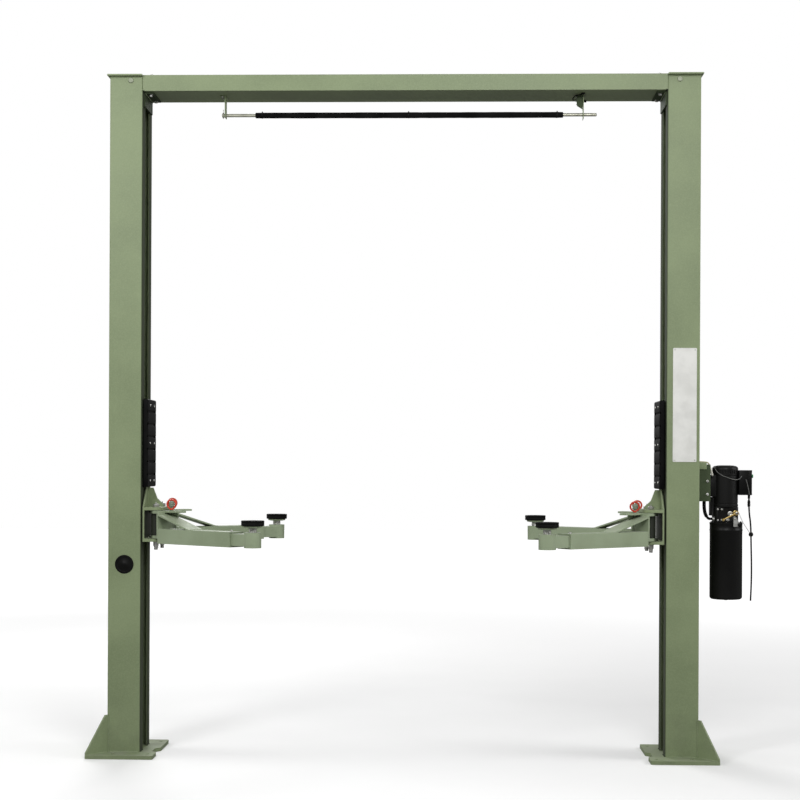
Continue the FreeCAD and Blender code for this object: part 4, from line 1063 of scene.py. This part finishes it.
card = {"left": 1.459, "right": 1.587, "low": 1.614, "high": 2.229, "back": -0.140, "front": -0.1414,
        "corner": 0.006, "margin": 0.004, "recess": 0.0003, "rivet": 0.010, "rivetRadius": 0.0035}


def buildBlankCard():  # a plain pale board with rounded corners, riveted at its corners, with nothing on it
    board = addBlock("blankCard", (card["left"], card["front"], card["low"]),
                     (card["right"], card["back"], card["high"]))
    trimEdges(board, lambda first, second: abs(first.y - second.y) > 0.0005, card["corner"], 5)
    press(board, frontward, (card["margin"], -card["recess"]))
    dress(board, "frame", moulded["cardWhite"], "white_nylon")
    rivet = card["rivet"]
    places = grid([card["left"] + rivet, card["right"] - rivet], [card["front"] + 0.0002],
                  [card["low"] + rivet, card["high"] - rivet])
    fasten(panScrew, "cardRivets", seatAll(places, frontward, card["rivetRadius"], 30))


capLug = {"low": (1.605, -0.004, 3.668), "high": (1.614, 0.004, 3.703), "slope": 0.0070}


def buildCapLug():  # the small triangular stay under the right cap's outer end
    low, high = capLug["low"], capLug["high"]
    lug = addBlock("capLug", low, high)
    shift(lug, "edges", lambda first, second: min(first.x, second.x) > high[0] - 1e-4
          and max(first.z, second.z) < low[2] + 1e-4, (-capLug["slope"], 0, 0))
    dress(rounded(lug, 0.0008), "frame", frameSage, "frame_paint")


limitSwitch = {"low": (0.944, -0.020, 3.568), "high": (0.978, 0.020, 3.620), "foot": 0.003, "panel": 0.0018,
               "plunger": (0.982, 0, 3.594), "gland": (0.944, 0, 3.598), "screw": 0.006, "screwTop": 0.010,
               "shieldLow": (0.944, -0.0300, 3.5410), "shieldHigh": (0.9765, -0.0278, 3.620)}


def buildLimitSwitch():
    low, high, foot = limitSwitch["low"], limitSwitch["high"], limitSwitch["foot"]
    case = addBlock("switchCase", low, (high[0], high[1], high[2] - foot))
    trimEdges(case, lambda first, second: max(first.z, second.z) < low[2] + 1e-4
              and max(first.x, second.x) < low[0] + 1e-4, 0.012)
    rounded(press(case, frontward, (0.003, limitSwitch["panel"])), 0.0018, 3)
    base = rounded(addBlock("switchFoot", (low[0] - foot, low[1] - foot, high[2] - foot),
                            (high[0], high[1] + foot, high[2])), 0.0006)
    lever = spunUp("switchPlunger", [(0, 10.5), (3, 10.5), (3, 7), (10, 7), (12, 8), (14, 8), (16, 6)], 28,
                   limitSwitch["plunger"], rightward)
    gland = spunUp("switchGland", [(0, 7), (6, 7), (6, 4.5), (11, 4)], 20, limitSwitch["gland"], leftward)
    dress(joined([case, base, gland], "limitSwitchCase"), "frame", moulded["switchPlastic"], "switch_plastic",
          "limit_switch")
    dress(lever, "frame", blackPlastic, "black_plastic", "limit_switch")
    near, far = low[0] + limitSwitch["screw"], high[0] - limitSwitch["screw"]
    bottom, top = low[2] + limitSwitch["screw"], high[2] - limitSwitch["screwTop"]
    places = [(across, low[1] - limitSwitch["panel"], height)  # the cut corner has no screw
              for across, height in ((near, top), (far, bottom), (far, top))]
    fasten(panScrew, "limitSwitchScrews", seatAll(places, frontward, 0.0026, 40))
    shield = addBlock("switchShield", limitSwitch["shieldLow"], limitSwitch["shieldHigh"])
    shift(shield, "edges", lambda first, second: max(first.z, second.z) < 3.55
          and max(first.x, second.x) < low[0] + 1e-4, (0, 0, 0.0200))  # its lower edge falls towards the hanger
    foldBack(shield, 0.0016, 0.0080)
    # the shield gets the sage paint in painted shade
    dress(rounded(shield, 0.0006), "frame", paintedShadeSage, "frame_paint")


buildFrameWelds()
buildYokeWelds()
buildFrameBolts()
buildAccessPlug()
buildBlankCard()
buildCapLug()
buildLimitSwitch()
print("frame details modelled")


# Power unit: motor, switch box, valve block, release lever and oil tank
unit = {"axis": 1.765, "motorLow": 1.370, "motorHigh": 1.597, "valveLow": 1.285, "tankAxis": 1.771,
        "tankLow": 0.864, "lever": (1.811, -0.101, 1.338), "leverFall": 26, "corners": 64}
vents = {"low": 1.550, "high": 1.572, "margin": 0.0009, "depth": 0.004}
motorFoot = {"low": (1.671, -0.040, 1.425), "high": (1.716, 0.040, 1.545), "margin": 0.010, "shrink": 0.96,
             "middle": (1.69, 0, 1.485), "edge": 0.003}
motorBolts = {"around": (35, 145, 215, 325), "reach": 0.060, "drop": 0.008, "radius": 0.0042}


def buildMotor():
    shell = spunUp("motorShell", [(0, 66), (1.5, 70), (14, 70), (15.5, 67.5), (19, 67.5), (20.5, 69), (165, 69),
                                  (166.5, 67.5), (170, 67.5), (171.5, 70), (181, 70), (201, 70), (211, 70),
                                  (218, 66.5), (223, 58), (226, 42), (227, 25), (227, 6)], unit["corners"],
                   (unit["axis"], 0, unit["motorLow"]))

    def isVent(middle, normal):  # every other pane of the cowl's band
        around = math.degrees(math.atan2(middle.y, middle.x - unit["axis"])) * unit["corners"] / 360
        return vents["low"] < middle.z < vents["high"] and abs(normal.z) < 0.3 and math.floor(around) % 2 == 0
    pick(shell, "faces", isVent)
    bpy.ops.mesh.inset(thickness=vents["margin"], use_individual=True)
    bpy.ops.mesh.extrude_faces_move(TRANSFORM_OT_shrink_fatten={"value": -vents["depth"]})
    leaveEdit()
    foot = addBlock("motorFoot", motorFoot["low"], motorFoot["high"])
    pick(foot, "faces", lambda middle, normal: abs(normal.z) > 0.9)
    bpy.ops.mesh.inset(thickness=motorFoot["margin"])
    bpy.ops.transform.resize(value=(1, 1, motorFoot["shrink"]), center_override=motorFoot["middle"])
    leaveEdit()
    rounded(foot, motorFoot["edge"])
    dress(joined([shell, foot], "motorShell"), "frame", unitBlack, "motor_paint", "motor")
    smooth()
    top = unit["motorHigh"] - motorBolts["drop"]
    places = circleOf(motorBolts["around"], unit["axis"], motorBolts["reach"], top)
    fasten(hexBolt, "motorBolts", seatAll(places, up, motorBolts["radius"]), material=unitBlack,
           slot="motor_paint")


switchBox = {"left": 1.8315, "right": 1.903, "half": 0.046, "low": 1.435, "high": 1.571, "case": 0.016,
             "lid": 0.0145, "lidSteps": ((0.008, -0.0015), (0.006, 0.0015)),
             "gasket": (0.0165, 0.014), "gasketInset": 0.0015, "button": 1.538, "screwInset": 0.005}


def buildSwitchBox():
    left, right, half, low, high = (switchBox[word] for word in ("left", "right", "half", "low", "high"))
    case = addBlock("switchBoxCase", (left, -half, low), (right - switchBox["case"], half, high))
    rounded(case, 0.006, 3)
    lid = addBlock("switchBoxLid", (right - switchBox["lid"], -half, low), (right, half, high))
    rounded(press(lid, rightward, *switchBox["lidSteps"]), 0.0012, 2, 50)
    (back, front), inset = switchBox["gasket"], switchBox["gasketInset"]
    gasket = rounded(addBlock("switchBoxGasket", (right - back, inset - half, low + inset),
                              (right - front, half - inset, high - inset)), 0.001)
    dress(joined([case, lid, gasket], "switchBoxCase"), "frame", blackPlastic, "switch_plastic", "switch_box")
    collar = spunUp("buttonCollar", [(0, 15), (1.2, 15), (2, 13.8), (2, 11.2), (0.5, 9.2)], 36,
                    (right - 0.0005, 0, switchBox["button"]), rightward)
    dress(collar, "frame", zincPlate, "zinc")
    button = spunUp("startButton", [(0, 8.5), (5, 8.5), (5.5, 9.8), (11.5, 10), (13.2, 9), (14, 6.5), (14, 1)],
                    36, (right, 0, switchBox["button"]), rightward)
    dress(button, "frame", moulded["buttonGreen"], "switch_plastic", "switch_box")
    inset = switchBox["screwInset"]
    places = grid([right - 0.0003], [inset - half, half - inset], [low + inset, high - inset])
    fasten(panScrew, "switchBoxScrews", seatAll(places, rightward, 0.0030, 25))


valve = {"left": 1.701, "right": 1.829, "half": 0.056, "plug": (1.783, -0.056, 1.334),
         "spacer": (1.803, -0.056, 1.308), "boltFace": -0.0545}


def buildValveBlock():
    left, right, half = valve["left"], valve["right"], valve["half"]
    low, high = unit["valveLow"], unit["motorLow"]
    block = addBlock("valveBlock", (left, -half, low), (right, half, high))
    trimEdges(block, lambda first, second: abs(first.z - second.z) > 0.05, 0.009)
    rounded(press(block, frontward, (0.009, -0.0020)), 0.0016, 2, 25)
    plug = addHexagon("pressurePlug", valve["plug"], frontward, 0.0150, 0.0080)
    rounded(press(plug, frontward, (0.0040, 0.0040), (0.0030, -0.0030)), 0.0006)
    across, along, height = unit["lever"]
    boss = spunUp("leverValve", [(0, 13.5), (8, 13.5), (9, 11), (20, 11), (21, 12.4), (30, 12.4), (31, 11),
                                 (44.5, 11), (44.7, 6)], 32, (across, -half, height), frontward)
    stud = spunUp("leverStud", [(0, 5), (14.5, 5), (15, 4.2)], 24, (across, along + 0.005, height), frontward)
    spacer = spunUp("plateSpacer", [(0, 8), (35, 8), (35.7, 7.4)], 28, valve["spacer"], frontward)
    dress(block, "frame", unitBlack, "motor_paint", "valve_block")
    dress(boss, "frame", brassMetal, "zinc", "valve_block")
    dress(joined([plug, stud, spacer], "valveFittings"), "frame", zincPlate, "zinc", "valve_block")
    face = valve["boltFace"]
    small = grid([left + 0.015, left + 0.038], [face], [low + 0.014, high - 0.012])
    side = grid([right], [0.020], [low + 0.020, high - 0.022])
    seats = seatAll(small, frontward, 0.0050, 15) + [((1.771, face, low + 0.016), frontward, 0.0080, 10)]
    fasten(hexBolt, "valveBolts", seats + seatAll(side, rightward, 0.0070, 10))


leverArm = {"tip": -0.078, "near": -0.006, "thickness": 0.0045, "half": 0.0048, "taper": 0.75, "knob": -0.083}


def buildReleaseLever():  # modelled flat with its pivot at the origin, then lowered to its angle
    bar = addBlock("leverBar", (leverArm["tip"], -leverArm["thickness"], -leverArm["half"]),
                   (leverArm["near"], 0.0, leverArm["half"]))
    pick(bar, "faces", toward(leftward))
    bpy.ops.transform.resize(value=(1, 1, leverArm["taper"]), center_override=(leverArm["tip"], 0, 0))
    leaveEdit()
    rounded(bar, 0.0018, 3)
    eye = spunUp("leverEye", [(0, 11.5), (0.8, 12), (4.2, 12), (5, 11.2), (5, 6.5), (4.4, 5.8)], 36, (0, 0, 0),
                 frontward)
    knob = spunUp("leverKnob", [(0, 6), (3, 7), (6, 8.2), (15, 8.4), (19, 7.4), (21.5, 5), (22, 1.5)], 32,
                  (leverArm["knob"], 0, 0), frontward)
    lever = joined([bar, eye, knob], "releaseLever")
    fall = Matrix.Rotation(math.radians(-unit["leverFall"]), 4, "Y")
    lever.data.transform(Matrix.Translation(unit["lever"]) @ fall)
    dress(lever, "release_lever", brassMetal, "zinc", "release_lever")
    across, along, height = unit["lever"]
    nut = addHexagon("leverNut", (across, along - 0.0052, height), frontward, 0.0082, 0.0048)
    dress(rounded(nut, 0.0006), "frame", zincPlate, "zinc")


tank = {"radius": 88, "round": 14, "foot": 1.5}  # in millimetres
tankFittings = {"filler": (0.030, 0.0715), "bolts": (0, 90, 180, 270), "boltReach": 0.0800, "boltRadius": 0.0050}


def buildOilTank():
    axis, low, top = unit["tankAxis"], unit["tankLow"], unit["valveLow"]
    flat, bend, foot = tank["radius"] - tank["round"], tank["round"], tank["foot"]
    rings = [(0, 6), (0, tank["radius"] * 0.6), (foot, flat)]
    for k in range(1, 7):
        lean = math.radians(15 * k)
        rings.append((foot + bend - bend * math.cos(lean), flat + bend * math.sin(lean)))
    rings += [(375, 88), (377, 89.4), (382, 89.4), (384, 88), (409.5, 88), (410.5, 88.5), (411.5, 89),
              (420, 89), (421, 88), (421, 60)]
    body = spunUp("oilTank", rings, unit["corners"], (axis, 0, low))
    cap = spunUp("fillerCap", [(0, 7), (4, 7), (4, 9.8), (6, 10.5), (14, 10.5), (17, 9), (18, 5)], 28,
                 (axis + tankFittings["filler"][0], tankFittings["filler"][1], top))
    drain = rounded(addHexagon("drainPlug", (axis, 0, low), down, 0.0090, 0.0055), 0.0008)
    dress(joined([body, cap, drain], "oilTank"), "frame", unitBlack, "motor_paint", "oil_tank")
    smooth()
    around = tankFittings["bolts"]
    places = circleOf(around, axis, tankFittings["boltReach"], top)
    seats = [(place, up, tankFittings["boltRadius"], angle) for place, angle in zip(places, around)]
    fasten(hexBolt, "tankBolts", seats, material=unitBlack, slot="motor_paint")


# Stiff lines, each with its radius, material, slot and route: the power unit's, then those inside the beam
lines = {
    "motorLead": (0.0022, moulded["cableGrey"], "cable_rubber",
                  [(1.701, -0.046, 1.583), (1.704, -0.060, 1.568), (1.728, -0.0725, 1.545),
                   (1.765, -0.0745, 1.530), (1.804, -0.0640, 1.519), (1.828, -0.0520, 1.519),
                   (1.841, -0.0480, 1.527), (1.847, -0.0450, 1.540)]),
    "boxLead": (0.0020, moulded["cableGrey"], "cable_rubber",
                [(1.870, -0.0455, 1.521), (1.875, -0.0490, 1.506), (1.881, -0.0490, 1.480),
                 (1.886, -0.0488, 1.455), (1.888, -0.0455, 1.438)]),
    "sleevedLead": (0.0040, moulded["sleeveTan"], "white_nylon",
                    [(1.6055, -0.088, 1.6150), (1.630, -0.088, 1.6150), (1.658, -0.086, 1.6125),
                     (1.668, -0.082, 1.594), (1.676, -0.076, 1.568), (1.680, -0.074, 1.560)]),
    "sleevedLeadEnd": (0.0062, whiteNylon, "white_nylon",
                       [(1.6710, -0.0795, 1.585), (1.676, -0.076, 1.568), (1.684, -0.070, 1.542)]),
    "ballTie": (0.0013, zincPlate, "zinc",
                [(1.8235, -0.088, 1.342), (1.834, -0.084, 1.318), (1.850, -0.066, 1.288),
                 (1.876, -0.036, 1.256), (1.8985, -0.0095, 1.2275)]),
    "hoseSleeve": (0.0095, cableRubber, "hose_rubber",
                   [(1.6590, -0.040, 1.3175), (1.650, -0.040, 1.330), (1.644, -0.040, 1.3735),
                    (1.646, -0.040, 1.425), (1.6405, -0.040, 1.4375)]),
    "overheadPipe": (0.006, zincPlate, "zinc",
                     [(-1.452, 0.045, 3.569), (-1.452, 0.045, 3.635), (-1.38, 0.045, 3.636),
                      (-0.6, 0.045, 3.636), (0.6, 0.045, 3.636), (1.38, 0.045, 3.636), (1.452, 0.045, 3.635),
                      (1.452, 0.045, 3.569)]),
    "switchConduit": (0.0075, cableRubber, "cable_rubber",
                      [(0.930, -0.020, 3.6375), (1.15, -0.020, 3.6375), (1.38, -0.020, 3.6375),
                       (1.452, -0.020, 3.637), (1.452, -0.020, 3.569)]),
    "switchLead": (0.0034, cableRubber, "cable_rubber",
                   [(0.934, 0, 3.598), (0.924, -0.004, 3.599), (0.922, -0.030, 3.604), (0.934, -0.058, 3.612),
                    (0.958, -0.066, 3.614), (0.974, -0.066, 3.618), (0.976, -0.066, 3.6245)])}


def buildLines():
    for name, (radius, material, slot, route) in lines.items():
        bentRod(name, route, radius, material, slot)


# The saddles that hold the pipe and the conduit on the beam's floor, and the grommet of the switch's lead
saddleLine = {"floor": 3.629, "thickness": 0.0018, "ear": 0.0175, "folds": (0.0115, 0.0085, 0.004),
              "rises": ((0.0084, 0.0120), (0.0039, 0.0035)),
              "places": ((-1.20, 0.045), (-0.72, 0.045), (-0.24, 0.045), (0.24, 0.045), (0.72, 0.045),
                         (1.20, 0.045), (1.02, -0.020), (1.30, -0.020))}


def buildSaddle():  # a pressed strap over a line, with two flat ears
    strap = addBlock("saddle", (-0.009, -0.024, 0.0), (0.009, 0.024, saddleLine["thickness"]))
    folds = [sign * fold for fold in saddleLine["folds"] for sign in (-1, 1)]
    cutAcross(strap, (0, 1, 0), folds)
    for reach, rise in saddleLine["rises"]:
        shift(strap, "faces", lambda middle, normal: abs(middle.y) < reach, (0, 0, rise))
    return rounded(strap, 0.0006)


def buildSaddles():
    saddle = buildSaddle()
    seats, straps = [], []
    for k, (across, along) in enumerate(saddleLine["places"]):
        straps.append(copyOf(saddle, "saddle", Matrix.Translation((across, along, saddleLine["floor"]))))
        ears = grid([across], [along - saddleLine["ear"], along + saddleLine["ear"]],
                    [saddleLine["floor"] + saddleLine["thickness"]])
        seats += seatAll(ears, up, 0.0042, 20 * k)
    dress(joined(straps, "lineSaddles"), "frame", zincPlate, "zinc")
    dropPieces(saddle)
    fasten(panScrew, "saddleScrews", seats)
    grommet = spunUp("leadGrommet", [(0, 12.5), (2, 12.5), (5, 11), (6, 6.5), (7.5, 6), (8.5, 4.5)], 28,
                     (0.976, -0.066, 3.624), down)
    dress(grommet, "frame", blackPlastic, "black_plastic")


plateTrim = {"knob": (1.827, -0.096, 1.2745), "bolt": (1.803, -0.096, 1.308), "boltRadius": 0.0050}


def buildPlateTrim():  # a knob and a bolt on the valve's side plate
    knob = spunUp("plateKnob", [(0, 6), (4, 6), (5, 10), (8, 11.8), (14, 11.8), (18, 10), (19, 6)], 32,
                  plateTrim["knob"], frontward)
    dress(knob, "frame", blackPlastic, "black_plastic")
    fasten(hexBolt, "sidePlateBolt", [(plateTrim["bolt"], frontward, plateTrim["boltRadius"], 10)])


bracketTab = {"low": (1.6055, -0.0935, 1.5750), "high": (1.6500, -0.0902, 1.6105), "thickness": 0.0030,
              "reach": 0.0300}
manifold = {"low": (1.6810, -0.0260, 1.3220), "high": (1.7015, 0.0260, 1.4235), "step": (0.0040, -0.0012)}


def buildBracketTab():  # a pale tab folded over the top of the bracket's front cheek
    tab = addBlock("bracketTab", bracketTab["low"], bracketTab["high"])
    foldBack(tab, bracketTab["thickness"], bracketTab["reach"])
    dress(rounded(tab, 0.0010), "frame", frameSage, "frame_paint")


def buildManifold():  # a dark block on the valve block's side
    block = press(addBlock("sideManifold", manifold["low"], manifold["high"]), frontward, manifold["step"])
    dress(rounded(block, 0.0020), "frame", unitBlack, "motor_paint")


hoseEnd = {"places": {(1.701, -0.040, 1.305): leftward, (1.605, -0.040, 1.450): rightward},
           "nutRadius": 0.0118, "nutLength": 0.0038}


def buildHoseEnds():  # crimped ferrules and hexagons at both ends of the pressure hose
    fittings = []
    for place, direction in hoseEnd["places"].items():
        fittings.append(spunUp("hoseFerrule", [(0, 7), (0.5, 9.8), (4, 9.8), (4.5, 8.5), (6.5, 8.5), (7, 9.6),
                                               (9, 9.6), (9.5, 8.4), (11.2, 8.4), (11.8, 7.2)], 28, place,
                               direction))
        nut = addHexagon("hoseNut", place, direction, hoseEnd["nutRadius"], hoseEnd["nutLength"])
        fittings.append(rounded(nut, 0.0005))
    dress(joined(fittings, "hoseEnds"), "frame", zincPlate, "zinc", "hose_fittings")


buildMotor()
buildSwitchBox()
buildValveBlock()
buildReleaseLever()
buildOilTank()
buildLines()
buildSaddles()
buildPlateTrim()
buildBracketTab()
buildManifold()
buildHoseEnds()
dropPieces(hexBolt, panScrew, ripple)
print("power unit modelled")
